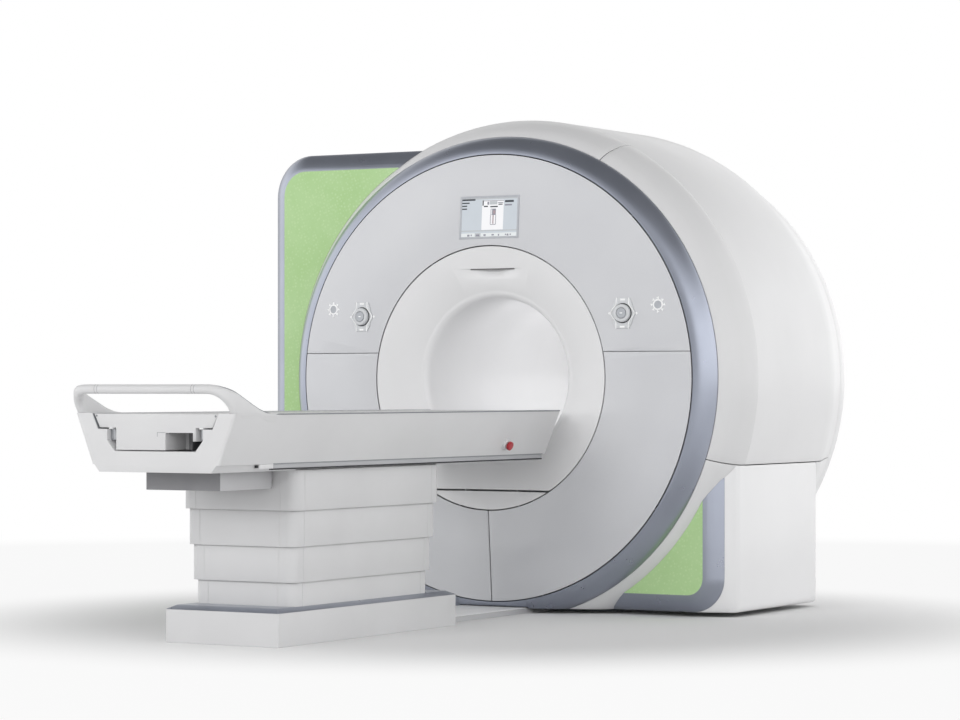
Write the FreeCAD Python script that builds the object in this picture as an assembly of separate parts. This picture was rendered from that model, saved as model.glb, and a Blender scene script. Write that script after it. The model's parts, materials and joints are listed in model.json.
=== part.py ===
import FreeCAD, Part
import math
import os

# A whole-body magnetic resonance scanner: a round gantry with its magnet, and a patient table that
# rises on a telescoping pedestal and sends its top into the bore.
# Frame: origin on the floor under the middle of the bore, +Y from the table into the bore, +Z up,
# and +X to the right for someone who stands at the foot of the table and looks at the gantry.

# Clearances and walls, in millimetres like every size here
fit_gap = 0.3  # between pieces that seat on each other
slide_gap = 0.5  # between pieces that slide on each other
seam = 4.0  # open joint between two cover panels
cover_wall = 5.0  # moulded cover
sheet = 3.0  # folded sheet

# Gantry covers, from the bore outwards. Each width is added to the radius inside it.
axis_height = 1025.0
bore_radius = 350.0
lip_radius = 40.0
lip_steps = 3  # flats that roll the funnel's wall round the lip
funnel_width = 188.0
funnel_angle = 17.4  # degrees that the bore funnel leans inwards
disc_width = 401.0
disc_rise = 30.0  # how far the disc falls back from its inner to its outer edge
ring_width = 82.0
ring_rise = 81.0
knee_width = 40.0
knee_rise = 43.0
band_width = 46.0
band_rise = 107.0
gantry_depth = 1451.0  # from the front funnel's outer edge to the rear funnel's
barrel_straight = 849.0  # length of the cylindrical part of the barrel
shoulder_width = 27.0
shoulder_rise = 100.0
rear_edge_width = 60.0
rear_flare = 55.0  # width and depth of the bevel round the rear end of the bore
floor_gap = 20.0  # the covers end this far above the floor

# Seams and slots of the front covers
disc_seam_height = 1137.0
slot_height = 533.0  # middle of the long slot under the bore
slot_width = 8.0
ring_nib = 180.0  # half of the gap in the ring trim at the floor
band_seam_angle = 62.4
side_seam_height = 650.0
laser_width = 314.0
laser_height = 9.0
laser_level = 1496.0
laser_thick = 12.0

# Side covers
tower_side = 1255.0
tower_top = 2050.0
tower_corner = 190.0
trim_width = 76.0
trim_foot = 66.0  # width of the trim under the green panel
trim_depth = 57.0
base_corner = 150.0
base_front_side = 1043.0
base_side = 1085.0
base_nose = 55.0  # length of the slanted front edge of the right side cover
side_length = 900.0  # of both side covers, from the trim backwards
base_rear_corner = 45.0
panel_thick = 4.0

# Controls on the front disc
display_width = 298.0
display_height = 188.0
display_middle = 1728.0
display_frame = 9.0
display_proud = 2.0
display_depth = 42.0
screen_thick = 4.0
dial_offset = 660.0
dial_height = 1300.0
dial_radius = 38.0
dial_length = 22.0
dial_bevel = 5.0
dial_stem_radius = 14.0
dial_stem_length = 24.0
knob_sides = 24  # grip flats round a dial or a button, and teeth round a pulley
dial_button_radius = 22.0
dial_button_depth = 9.0
dial_button_travel = 3.0
bezel_half_height = 64.0
bezel_waist = 51.0  # half width of the control bezel at its middle
bezel_end = 31.0  # and at its ends
bezel_proud = 5.0
control_depth = 44.0
light_offset = 162.0  # of the light key from the dial
light_lift = 35.0
light_radius = 24.0
light_proud = 3.0
light_travel = 1.5

# Magnet
liner_wall = 4.0
body_coil_wall = 14.0
body_coil_length = 620.0
gradient_gap = 6.0
gradient_wall = 68.0
gradient_inset = 10.0  # from the ends of the vessel to the ends of the gradient coil
wedge_gap = 6.0  # between the gradient coil and the warm bore of the vessel
wedge_length = 60.0
wedge_angle = 6.0
vessel_radius = 960.0
vessel_length = 1180.0
turret_width = 260.0
turret_middle = 790.0
cold_head_radius = 62.0
cold_head_height = 230.0
cold_head_foot = 20.0
cold_head_room = 5.0  # under the roof of the tall side cover
turret_top = tower_top - cover_wall - cold_head_room - cold_head_height - cold_head_foot
bridge_top = 744.0
bridge_rail_place = 130.0
bridge_rail_width = 36.0

# Gantry base and the plates that carry the covers
saddle_place = 400.0
saddle_thick = 50.0
saddle_half_width = 480.0
beam_place = 430.0
beam_width = 90.0
beam_height = 120.0
spine_width = 120.0
spine_height = 50.0
duct_half_width = 175.0
duct_height = 24.0
duct_bevel = 12.0
bracket_thick = 6.0
bracket_width = 80.0
bracket_margin = 12.0
front_bracket_angles = (45.0, 120.0, 168.0, 215.0, 255.0, 285.0, 325.0)
rear_bracket_angles = (45.0, 135.0, 225.0, 315.0)
barrel_bracket_angles = (0.0, 50.0, 95.0)
barrel_bracket_places = (-380.0, 300.0)
side_bracket_heights = (620.0, 1025.0, 1400.0)
base_bracket_height = 420.0

# Table top, trough and handle
dock_gap = 11.0  # from the table trough to the gantry's front
trough_length = 2425.0
table_top = 887.0
trough_bottom = 668.0
trough_top_half = 366.0
trough_side_foot = 290.0
trough_step = 279.0
trough_step_height = 696.0
trough_foot = 255.0
trough_skin = 6.0
horn_sides = 12  # flats round a horn of the handle
channel_top_half = 289.0
channel_ledge_half = 262.0
channel_ledge_height = 828.0
channel_wall_half = 219.0
channel_wall_height = 787.0
channel_floor_half = 185.0
channel_floor = 746.0
guide_width = 24.0
guide_length = 2380.0
glide_inset = 4.0
tabletop_side_gap = 5.0
tabletop_drop = 2.0
tabletop_recess = 6.0
wing_height = 52.0
keel_half = 182.0
keel_clear = 4.0  # from the keel to the trough's floor
tabletop_travel = 1900.0
notch_start = 45.0
notch_end = 169.0
notch_height = 65.0
notch_depth = 130.0
handle_radius = 17.5
handle_height = 976.5
handle_reach = 53.0  # from the trough's end to the middle of the bar
handle_half = 227.0
horn_straight = 48.0
horn_bend = 73.5
horn_slope = 30.0
fin_thick = 32.0
fin_sweep = 278.0  # radius at which the fin runs out into the trough's top
rail_thick = 9.0
rail_height = 17.0
rail_end_gap = 24.0
rail_block_start = 260.0
rail_block_length = 91.0
rail_block_proud = 3.0
underframe_half = 170.0
underframe_height = 71.0
underframe_length = 340.0
underframe_gap = 16.0
stop_place = 372.5  # from the gantry end of the trough to the emergency button
stop_height = 745.0
stop_radius = 19.0
stop_head = 13.0
stop_stem_radius = 9.0
stop_stem_length = 7.0
stop_travel = 4.0
boss_radius = 26.0
boss_height = 12.0
boss_taper = 4.0
stem_sides = 12

# Table pedestal
base_half_width = 262.0
base_length = 1298.0
pedestal_middle = 1371.0  # from the gantry's front to the middle of the pedestal
base_forward = 10.0  # how far the base's middle is nearer to the gantry than the pedestal's
base_height = 129.0
base_bevel_in = 31.0
base_bevel_rise = 16.0
base_plate_thick = 12.0
anchor_radius = 7.0
anchor_spacing_x = 360.0
anchor_spacing_y = 900.0
cover_half_width = 266.0
cover_length = 1064.0
cover_corner = 36.0
cover_step = 11.5
cover_bottoms = (513.0, 374.0, 237.0)
cover_overlap = 20.0
cover_top_flange = 24.0
column_place = 300.0
column_size = 110.0
column_wall = 6.0
column_overlap = 27.0
frame_plate = 6.0
frame_half = 214.0
frame_end_gap = 28.0
beam_half = 90.0
frame_beam_drop = 68.0  # from the trough's underside to the bottom of the frame's beam
frame_beam_end = 120.0
lift_motor_half = 50.0
lift_motor_length = 190.0
lift_motor_foot = 60.0  # half width of its foot plate

# Table drive
belt_radius = 27.0
belt_thick = 3.0
belt_width = 16.0
belt_level = 708.0
pulley_foot_place = 130.0  # from the trough's foot end
pulley_head_place = 190.0  # from the trough's gantry end
pulley_width = 18.0
axle_radius = 5.0
ear_thick = 6.0
ear_height = 50.0
ear_length = 44.0
slot_half = 13.0
clamp_half = 9.0
clamp_length = 60.0
clamp_start = 50.0  # from the foot-end pulley to the clamp's middle at rest
slot_margin = 12.0
belt_motor_half = 29.0
belt_motor_length = 110.0

# Radii, planes and lines that follow from the sizes above
half_seam = seam / 2
front = -gantry_depth / 2
lip_centre_radius = bore_radius + lip_radius
hub_radius = lip_centre_radius + funnel_width
disc_radius = hub_radius + disc_width
ring_radius = disc_radius + ring_width
knee_radius = ring_radius + knee_width
barrel_radius = knee_radius + band_width
shoulder_radius = barrel_radius - shoulder_width
rear_edge_radius = shoulder_radius - rear_edge_width
disc_edge = front + disc_rise
ring_edge = disc_edge + ring_rise
panel_plane = ring_edge + knee_rise
barrel_front = panel_plane + band_rise
barrel_rear = barrel_front + barrel_straight
shoulder_plane = barrel_rear + shoulder_rise
trim_plane = panel_plane + trim_depth
side_rear = trim_plane + side_length
disc_slope = math.atan2(disc_rise, disc_width)
funnel_lean = math.radians(funnel_angle)
vessel_end = vessel_length / 2
gradient_end = vessel_end - gradient_inset
body_coil_radius = bore_radius + liner_wall + fit_gap
gradient_radius = body_coil_radius + body_coil_wall + gradient_gap
vessel_bore = gradient_radius + gradient_wall + wedge_gap
trough_head = front - dock_gap
trough_end = trough_head - trough_length
keel_bottom = channel_floor + keel_clear
tabletop_top = table_top - tabletop_drop
wing_bottom = tabletop_top - wing_height
tabletop_end = trough_end + tabletop_recess
belt_foot = trough_end + pulley_foot_place
belt_head = trough_head - pulley_head_place
belt_outer = belt_radius + belt_thick
pedestal_y = front - pedestal_middle
base_y = pedestal_y + base_forward
frame_beam_bottom = trough_bottom - frame_beam_drop
column_length = (frame_beam_bottom - base_plate_thick + 2 * column_overlap) / 3
far = 4000.0
full_turn = 360.0


def box(x0, x1, y0, y1, z0, z1):
    return Part.makeBox(x1 - x0, y1 - y0, z1 - z0, FreeCAD.Vector(x0, y0, z0))


def outline(points):
    """A closed polygon through the points, as a face."""
    return Part.Face(Part.makePolygon(points + points[:1]))


def prism_y(points, y0, y1):
    """A section given as (x, z) points, drawn out along Y."""
    face = outline([FreeCAD.Vector(x, y0, z) for x, z in points])
    return face.extrude(FreeCAD.Vector(0, y1 - y0, 0))


def prism_x(points, x0, x1):
    """A section given as (y, z) points, drawn out along X."""
    face = outline([FreeCAD.Vector(x0, y, z) for y, z in points])
    return face.extrude(FreeCAD.Vector(x1 - x0, 0, 0))


def prism_z(points, z0, z1):
    """A plan given as (x, y) points, drawn out along Z."""
    face = outline([FreeCAD.Vector(x, y, z0) for x, y in points])
    return face.extrude(FreeCAD.Vector(0, 0, z1 - z0))


def rod(start, direction, radius, length):
    return Part.makeCylinder(radius, length, FreeCAD.Vector(*start), FreeCAD.Vector(*direction))


def round_points(radius, sides):
    """The corners of a many-sided outline about the origin."""
    turns = [2 * math.pi * step / sides for step in range(sides)]
    return [(radius * math.cos(turn), radius * math.sin(turn)) for turn in turns]


def around(radius, sides):
    """The radius at the corners of a many-sided hole that a round thing of a radius turns in."""
    return radius / math.cos(math.pi / sides)


def drum(radius, sides, y0, y1):
    """A many-sided drum about the origin, along Y."""
    return prism_y(round_points(radius, sides), y0, y1)


def tapered(first, last):
    """A solid between two like outlines of points, with flat sides."""
    sides = list(zip(first, first[1:] + first[:1], last[1:] + last[:1], last))
    faces = [outline(list(corners)) for corners in sides]
    return Part.Solid(Part.Shell(faces + [outline(first), outline(last)]))


def frustum(radius0, radius1, sides, y0, y1):
    """A many-sided drum about the origin that narrows along Y."""
    first = [FreeCAD.Vector(x, y0, z) for x, z in round_points(radius0, sides)]
    last = [FreeCAD.Vector(x, y1, z) for x, z in round_points(radius1, sides)]
    return tapered(first, last)


def flip_x(shape):
    """The mirror image across the middle plane, left for right."""
    return shape.mirror(FreeCAD.Vector(0, 0, 0), FreeCAD.Vector(1, 0, 0))


def flip_y(shape):
    """The mirror image, front for rear."""
    return shape.mirror(FreeCAD.Vector(0, 0, 0), FreeCAD.Vector(0, 1, 0))


def fuse(shapes):
    return shapes[0].fuse(shapes[1:]).removeSplitter()


def save(name, *shapes):
    """Write one node: a solid, or a group of separate solids."""
    whole = shapes[0] if len(shapes) == 1 else Part.makeCompound(list(shapes))
    whole.exportStep("parts/" + name + ".step")


def bore_point(radius, y, angle=0.0):
    """The point at a radius and an angle about the bore's axis."""
    turn = math.radians(angle)
    return FreeCAD.Vector(radius * math.cos(turn), y, axis_height + radius * math.sin(turn))


def turned(shape, angle):
    """A shape turned about the bore's axis, from +X towards +Z."""
    copy = shape.copy()
    copy.rotate(FreeCAD.Vector(0, 0, axis_height), FreeCAD.Vector(0, -1, 0), angle)
    return copy


def ring(points, start=0.0, end=full_turn):
    """A ring about the bore with a section given as (radius, y) points, from one angle to another."""
    face = outline([bore_point(radius, y, start) for radius, y in points])
    return face.revolve(FreeCAD.Vector(0, 0, axis_height), FreeCAD.Vector(0, -1, 0), end - start)


def cylinder(radius, y0, y1):
    """A cylinder about the bore's axis."""
    return rod((0, y0, axis_height), (0, 1, 0), radius, y1 - y0)


def pipe(inner, outer, y0, y1):
    return cylinder(outer, y0, y1).cut(cylinder(inner, y0, y1))


def inset(points, depth, closed=False):
    """A line of points moved to its left by a depth, with mitred corners."""
    ends = points[1:] + points[:1] if closed else points[1:]
    normals = []
    for (r0, y0), (r1, y1) in zip(points, ends):
        length = math.hypot(r1 - r0, y1 - y0)
        normals.append(((y0 - y1) / length, (r1 - r0) / length))
    moved = []
    for index, (radius, y) in enumerate(points):
        before = normals[index - 1] if closed else normals[max(index - 1, 0)]
        after = normals[min(index, len(normals) - 1)]
        share = 1 + before[0] * after[0] + before[1] * after[1]
        moved.append((radius + depth * (before[0] + after[0]) / share,
                      y + depth * (before[1] + after[1]) / share))
    return moved


def towards(point, other, length):
    """The point that lies a length from one point on the way to another."""
    share = length / math.hypot(other[0] - point[0], other[1] - point[1])
    return point[0] + (other[0] - point[0]) * share, point[1] + (other[1] - point[1]) * share


def shortened(points, length):
    """A line of points with a length taken off both ends."""
    return [towards(points[0], points[1], length)] + points[1:-1] + [towards(points[-1], points[-2], length)]


def funnel_section():
    """Half section of a bore funnel: a leaning wall that rolls round a lip into the bore."""
    edge_radius = hub_radius - half_seam
    edge_y = front + half_seam * math.tan(funnel_lean)
    touch_radius = lip_centre_radius - lip_radius * math.sin(funnel_lean)
    touch_y = front + (hub_radius - touch_radius) * math.tan(funnel_lean)
    centre_y = touch_y + lip_radius * math.cos(funnel_lean)

    def lip_point(radius, share):
        lean = funnel_lean + (math.pi / 2 - funnel_lean) * share
        return lip_centre_radius - radius * math.sin(lean), centre_y - radius * math.cos(lean)

    lip = [lip_point(lip_radius, step / lip_steps) for step in range(lip_steps + 1)]
    back = [lip_point(lip_radius - cover_wall, share) for share in (1, 0)]
    edge = (edge_radius, edge_y)
    inner_edge = (edge_radius, edge_y + cover_wall / math.cos(funnel_lean))
    return [edge] + lip + back + [inner_edge], centre_y


funnel_points, liner_front = funnel_section()


# The outer line of the round covers as (radius, y) points, from the front funnel to the rear one
cover_line = [
    (hub_radius, front),
    (disc_radius, disc_edge),
    (ring_radius, ring_edge),
    (knee_radius, panel_plane),
    (barrel_radius, barrel_front),
    (barrel_radius, barrel_rear),
    (shoulder_radius, shoulder_plane),
    (rear_edge_radius, -front),
    (hub_radius, -front),
    (bore_radius + rear_flare, -front),
    (bore_radius, -front - rear_flare),
    (bore_radius, -liner_front),
]
inner_line = inset(cover_line, cover_wall)
seat_line = inset(cover_line, cover_wall + fit_gap)


def shell(first, last, start=0.0, end=full_turn):
    """A round cover between two points of the cover line, with a seam at each edge."""
    outer = shortened(cover_line[first:last + 1], half_seam)
    inner = shortened(inner_line[first:last + 1], half_seam)
    return ring(outer + inner[::-1], start, end)


# Blocks and angles that part the covers at their seams
above_floor = box(-far, far, -far, far, floor_gap, far)
above_disc_seam = box(-far, far, -far, far, disc_seam_height + half_seam, far)
below_disc_seam = box(-far, far, -far, far, floor_gap, disc_seam_height - half_seam)
seam_turn = math.degrees(half_seam / barrel_radius)
side_seam_angle = math.degrees(math.asin((axis_height - side_seam_height) / barrel_radius))
tower_angle = 180 - math.degrees(math.asin((tower_top - axis_height) / barrel_radius))
nib_angle = math.degrees(math.asin(ring_nib / ring_radius))

# Everything inside the round covers, for cutting the side covers that stand against them
round_line = inset(cover_line, -half_seam)[2:6]
round_body = ring([(0, front - trim_depth), (round_line[0][0], front - trim_depth)] + round_line
                  + [(round_line[-1][0], far), (0, far)])


def disc_frame(x, z):
    """The place and direction of the front disc's surface, seen from the front at x and z."""
    radius = math.hypot(x, z - axis_height)
    lean = math.sin(disc_slope)
    normal = FreeCAD.Vector(lean * x / radius, -math.cos(disc_slope), lean * (z - axis_height) / radius)
    y = front + (radius - hub_radius) * math.tan(disc_slope)
    return FreeCAD.Placement(FreeCAD.Vector(x, y, z), FreeCAD.Rotation(FreeCAD.Vector(0, -1, 0), normal))


def on_disc(shape, x, z):
    """A shape drawn about the origin, facing -Y, set square on the front disc."""
    return shape.transformed(disc_frame(x, z).toMatrix())


def make_display():
    """The screen unit in the upper disc. Gives back the hole that it needs."""
    half_width = display_width / 2
    half_height = display_height / 2
    body = box(-half_width, half_width, -display_proud, display_depth, -half_height, half_height)
    pane_half_width = half_width - display_frame
    pane_half_height = half_height - display_frame
    recess = box(-pane_half_width, pane_half_width, -display_proud, screen_thick,
                 -pane_half_height, pane_half_height)
    pane = box(-pane_half_width + fit_gap, pane_half_width - fit_gap, 0, screen_thick,
               -pane_half_height + fit_gap, pane_half_height - fit_gap)
    save("display_housing", on_disc(body.cut(recess), 0, display_middle))
    save("display_screen", on_disc(pane, 0, display_middle))
    hole = box(-half_width - fit_gap, half_width + fit_gap, -bracket_width, bracket_width,
               -half_height - fit_gap, half_height + fit_gap)
    return on_disc(hole, 0, display_middle)


def bezel_plate():
    """The waisted plate round a dial, seated on the disc's surface."""
    corners = [FreeCAD.Vector(side * bezel_end, -bezel_proud, top * bezel_half_height)
               for side, top in ((1, -1), (1, 1), (-1, 1), (-1, -1))]
    right_waist = FreeCAD.Vector(bezel_waist, -bezel_proud, 0)
    left_waist = FreeCAD.Vector(-bezel_waist, -bezel_proud, 0)
    edges = [
        Part.Arc(corners[0], right_waist, corners[1]).toShape(),
        Part.makeLine(corners[1], corners[2]),
        Part.Arc(corners[2], left_waist, corners[3]).toShape(),
        Part.makeLine(corners[3], corners[0]),
    ]
    return Part.Face(Part.Wire(edges)).extrude(FreeCAD.Vector(0, bezel_proud - fit_gap, 0))


def control_box(side, y0, y1):
    """The block behind a dial and its light key."""
    ends = sorted([-side * bezel_end, side * (light_offset + light_radius)])
    return box(ends[0], ends[1], y0, y1, -bezel_half_height, light_lift + light_radius)


def make_controls(side, name):
    """A dial with its push button and, beside it, the light key. Gives back the unit and its holes."""
    x = side * dial_offset
    key_place = FreeCAD.Vector(side * light_offset, 0, light_lift)
    key_back = cover_wall + slide_gap
    box_front = key_back + light_travel + slide_gap
    neck = box(-bezel_end, bezel_end, -fit_gap, box_front, -bezel_half_height, bezel_half_height)
    well_radius = around(dial_radius + slide_gap, knob_sides)
    well = drum(well_radius, knob_sides, -bezel_proud, -fit_gap)
    stem_well = drum(around(dial_stem_radius + fit_gap, stem_sides), stem_sides, -bezel_proud,
                     dial_stem_length + slide_gap)
    unit = fuse([bezel_plate(), neck, control_box(side, box_front, control_depth)]).cut([well, stem_well])

    back = -fit_gap - slide_gap
    straight = dial_length - dial_bevel
    body = drum(dial_radius, knob_sides, back, -straight)
    crown = frustum(dial_radius, dial_radius - dial_bevel, knob_sides, -straight, -dial_length)
    stem = drum(dial_stem_radius, stem_sides, back, dial_stem_length)
    pocket = drum(dial_button_radius + slide_gap, knob_sides, -dial_length, dial_button_depth - dial_length)
    save("dial_" + name, on_disc(fuse([body, crown, stem]).cut(pocket), x, dial_height))

    button_back = dial_button_depth - dial_length - dial_button_travel - slide_gap
    button = drum(dial_button_radius, knob_sides, button_back, -dial_length)
    save("dial_button_" + name, on_disc(button, x, dial_height))

    key = drum(light_radius, knob_sides, -light_proud, key_back).translated(key_place)
    save("light_key_" + name, on_disc(key, x, dial_height))
    neck_hole = box(-bezel_end - fit_gap, bezel_end + fit_gap, -bezel_proud, bracket_width,
                    -bezel_half_height - fit_gap, bezel_half_height + fit_gap)
    key_hole = drum(light_radius + slide_gap, knob_sides, -bezel_proud, box_front).translated(key_place)
    holes = [on_disc(hole, x, dial_height) for hole in (neck_hole, key_hole)]
    return on_disc(unit, x, dial_height), holes


def make_front_disc():
    """The light grey disc in three panels, with the display and the controls in the upper one."""
    right_unit, right_holes = make_controls(1, "right")
    left_unit, left_holes = make_controls(-1, "left")
    save("control_units", right_unit, left_unit)
    upper = shell(0, 1, 0, 180).common(above_disc_seam)
    save("front_disc_upper", upper.cut([make_display()] + right_holes + left_holes))
    middle_turn = math.degrees(half_seam / disc_radius)
    right = shell(0, 1, -90 + middle_turn, 45).common(below_disc_seam)
    save("front_disc_lower", right, flip_x(right))


def make_funnels():
    """The white round cover in two pieces with a slot between, and the window of the laser."""
    funnel = ring(funnel_points)
    slot_top = slot_height + slot_width / 2
    slot_bottom = slot_height - slot_width / 2
    half = laser_width / 2
    place = front + (hub_radius - (laser_level - axis_height)) * math.tan(funnel_lean)
    window_hole = box(-half, half, front, place + laser_thick, laser_level, laser_level + laser_height)
    window = box(-half + fit_gap, half - fit_gap, place + fit_gap, place + laser_thick,
                 laser_level + fit_gap, laser_level + laser_height - fit_gap)
    save("laser_window", window)
    save("round_cover", funnel.common(box(-far, far, -far, far, slot_top, far)).cut(window_hole))
    save("lower_round_cover", funnel.common(box(-far, far, -far, far, 0, slot_bottom)))


def make_ring_and_band():
    """The dark ring trim, and the pale band outside it in four pieces."""
    save("ring_trim", shell(1, 2, -90 + nib_angle, 270 - nib_angle).common(above_floor))
    save("band_upper", shell(2, 4, -side_seam_angle + seam_turn, band_seam_angle - seam_turn),
         shell(2, 4, band_seam_angle + seam_turn, 180 + side_seam_angle - seam_turn))
    lower = shell(2, 4, -90 + nib_angle, -side_seam_angle - seam_turn).common(above_floor)
    save("band_lower", lower, flip_x(lower))


def make_barrel():
    """The barrel over the magnet, the rear cover with its skirt, and the round cover at the rear bore."""
    save("barrel_cover", shell(4, 6, -side_seam_angle + seam_turn, tower_angle - seam_turn))
    skirt_outer = cover_line[5:7] + [towards(cover_line[6], cover_line[7], seam)]
    skirt_inner = inner_line[5:7] + [towards(inner_line[6], inner_line[7], seam)]
    skirt = ring(skirt_outer + skirt_inner[::-1], tower_angle + seam_turn, 360 - side_seam_angle - seam_turn)
    save("rear_cover", fuse([shell(6, 8), skirt]).common(above_floor))
    save("rear_round_cover", shell(8, 11))


def side_wire(side, grow, foot, top, y, foot_corner, top_corner):
    """The outline of a side cover in front view, in the plane at y, round or square at its top."""
    x = side + grow
    points = [
        FreeCAD.Vector(0, y, foot),
        FreeCAD.Vector(x - foot_corner, y, foot),
        FreeCAD.Vector(x, y, foot + foot_corner),
    ]
    diagonal = math.sqrt(0.5)
    foot_middle = FreeCAD.Vector(x - foot_corner * (1 - diagonal), y, foot + foot_corner * (1 - diagonal))
    edges = [Part.makeLine(points[0], points[1]), Part.Arc(points[1], foot_middle, points[2]).toShape()]
    if top_corner:
        bend = FreeCAD.Vector(x, y, top - top_corner)
        top_middle = FreeCAD.Vector(x - top_corner * (1 - diagonal), y, top - top_corner * (1 - diagonal))
        run = FreeCAD.Vector(x - top_corner, y, top)
        edges += [Part.makeLine(points[2], bend), Part.Arc(bend, top_middle, run).toShape()]
    else:
        run = FreeCAD.Vector(x, y, top)
        edges.append(Part.makeLine(points[2], run))
    last = FreeCAD.Vector(0, y, top)
    edges += [Part.makeLine(run, last), Part.makeLine(last, points[0])]
    return Part.Wire(edges)


def side_front(side, top, top_corner):
    """Bevelled trim and flat panel of one side cover, drawn on the right of the middle."""
    inner_foot = floor_gap + trim_foot
    inner_top = top - (trim_width if top_corner else 0)
    inner_corner = max(top_corner - trim_width, 0)
    foot_corner = base_corner - trim_width
    outer = side_wire(side, 0, floor_gap, top, trim_plane, base_corner, top_corner)
    inner = side_wire(side, -trim_width, inner_foot, inner_top, panel_plane, foot_corner, inner_corner)
    block = Part.makeLoft([inner, outer], True, True)
    hollow = block.translated(FreeCAD.Vector(0, cover_wall, 0))
    window = Part.Face(inner).extrude(FreeCAD.Vector(0, cover_wall + fit_gap, 0))
    trim = block.cut([hollow, window])
    plate_wire = side_wire(side, -trim_width - fit_gap, inner_foot + fit_gap, inner_top - fit_gap,
                           panel_plane, foot_corner, inner_corner)
    plate = Part.Face(plate_wire).extrude(FreeCAD.Vector(0, panel_thick, 0))
    return trim, plate


def make_side_covers():
    """The tall cover on the left, the low one on the right, and their trims and green panels."""
    mirrored_round = flip_x(round_body)
    trim, plate = side_front(tower_side, tower_top, tower_corner)
    low_trim, low_plate = side_front(base_front_side, axis_height, 0)
    save("panel_trims", flip_x(trim.cut(mirrored_round)), low_trim.cut(round_body))
    save("green_panels", flip_x(plate.cut(mirrored_round)), low_plate.cut(round_body))

    outer = Part.Face(side_wire(tower_side, 0, floor_gap, tower_top, trim_plane, base_corner, tower_corner))
    inner = Part.Face(side_wire(tower_side, -cover_wall, floor_gap + cover_wall, tower_top - cover_wall,
                                trim_plane, base_corner - cover_wall, tower_corner - cover_wall))
    tower = outer.extrude(FreeCAD.Vector(0, side_length, 0))
    room = inner.extrude(FreeCAD.Vector(0, side_length - cover_wall, 0))
    foot = box(0, tower_side - base_corner, trim_plane, side_rear - cover_wall, 0, floor_gap + 2 * cover_wall)
    save("tower_cover", flip_x(tower.cut([room, foot, mirrored_round])))

    side_line = [
        (knee_radius / 2, side_rear),
        (base_side - base_rear_corner, side_rear),
        (base_side, side_rear - base_rear_corner),
        (base_side, trim_plane + base_nose),
        (base_front_side, trim_plane),
    ]
    walls = side_line + inset(side_line, -cover_wall)[::-1]
    behind_trim = box(0, far, trim_plane, far, 0, far)
    side = prism_z(walls, floor_gap, side_seam_height - half_seam).common(behind_trim)
    save("base_cover", side.cut(round_body))


def make_magnet():
    """The magnet in its sealed vessel with the cold head, and what stands in its warm bore."""
    half = turret_width / 2
    turret = box(-turret_middle - half, -turret_middle + half, -half, half, axis_height, turret_top)
    bore = cylinder(vessel_bore, -vessel_end, vessel_end)
    vessel = fuse([cylinder(vessel_radius, -vessel_end, vessel_end), turret]).cut(bore)
    save("magnet_vessel", vessel)
    foot = box(-turret_middle - half / 2, -turret_middle + half / 2, -half / 2, half / 2, turret_top,
               turret_top + cold_head_foot)
    head = drum(cold_head_radius, knob_sides, 0, cold_head_height)
    head.rotate(FreeCAD.Vector(0, 0, 0), FreeCAD.Vector(1, 0, 0), 90)
    save("cold_head", fuse([foot, head.translated(FreeCAD.Vector(-turret_middle, 0, turret_top))]))

    coil_outer = gradient_radius + gradient_wall
    save("gradient_coil", pipe(gradient_radius, coil_outer, -gradient_end, gradient_end))
    wedge_outer = vessel_bore - fit_gap
    wedge_inner = coil_outer + fit_gap
    wedge_start = gradient_end - wedge_length
    wedge = ring([(wedge_inner, wedge_start), (wedge_outer, wedge_start), (wedge_outer, gradient_end),
                  (wedge_inner, gradient_end)], 0, wedge_angle)
    wedges = [turned(wedge, angle - wedge_angle / 2) for angle in (45, 135, 225, 315)]
    save("gradient_wedges", *wedges, *[flip_y(wedge) for wedge in wedges])
    save("body_coil", pipe(body_coil_radius, body_coil_radius + body_coil_wall, -body_coil_length / 2,
                           body_coil_length / 2))
    save("bore_liner", pipe(bore_radius, bore_radius + liner_wall, liner_front, -liner_front))

    under_bridge = box(-far, far, -far, far, 0, bridge_top)
    bridge = cylinder(bore_radius - fit_gap, liner_front, -liner_front).common(under_bridge)
    rail_inner = bridge_rail_place - bridge_rail_width / 2
    rail = box(rail_inner, rail_inner + bridge_rail_width, liner_front, -liner_front, bridge_top,
               keel_bottom - slide_gap)
    save("bore_bridge", fuse([bridge, rail, flip_x(rail)]))


def bracket_plate(points, angle):
    """A flat plate in a plane through the bore's axis, with (radius, y) corners."""
    face = outline([bore_point(radius, y) for radius, y in points])
    plate = face.extrude(FreeCAD.Vector(0, 0, bracket_thick))
    return turned(plate.translated(FreeCAD.Vector(0, 0, -bracket_thick / 2)), angle)


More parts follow.
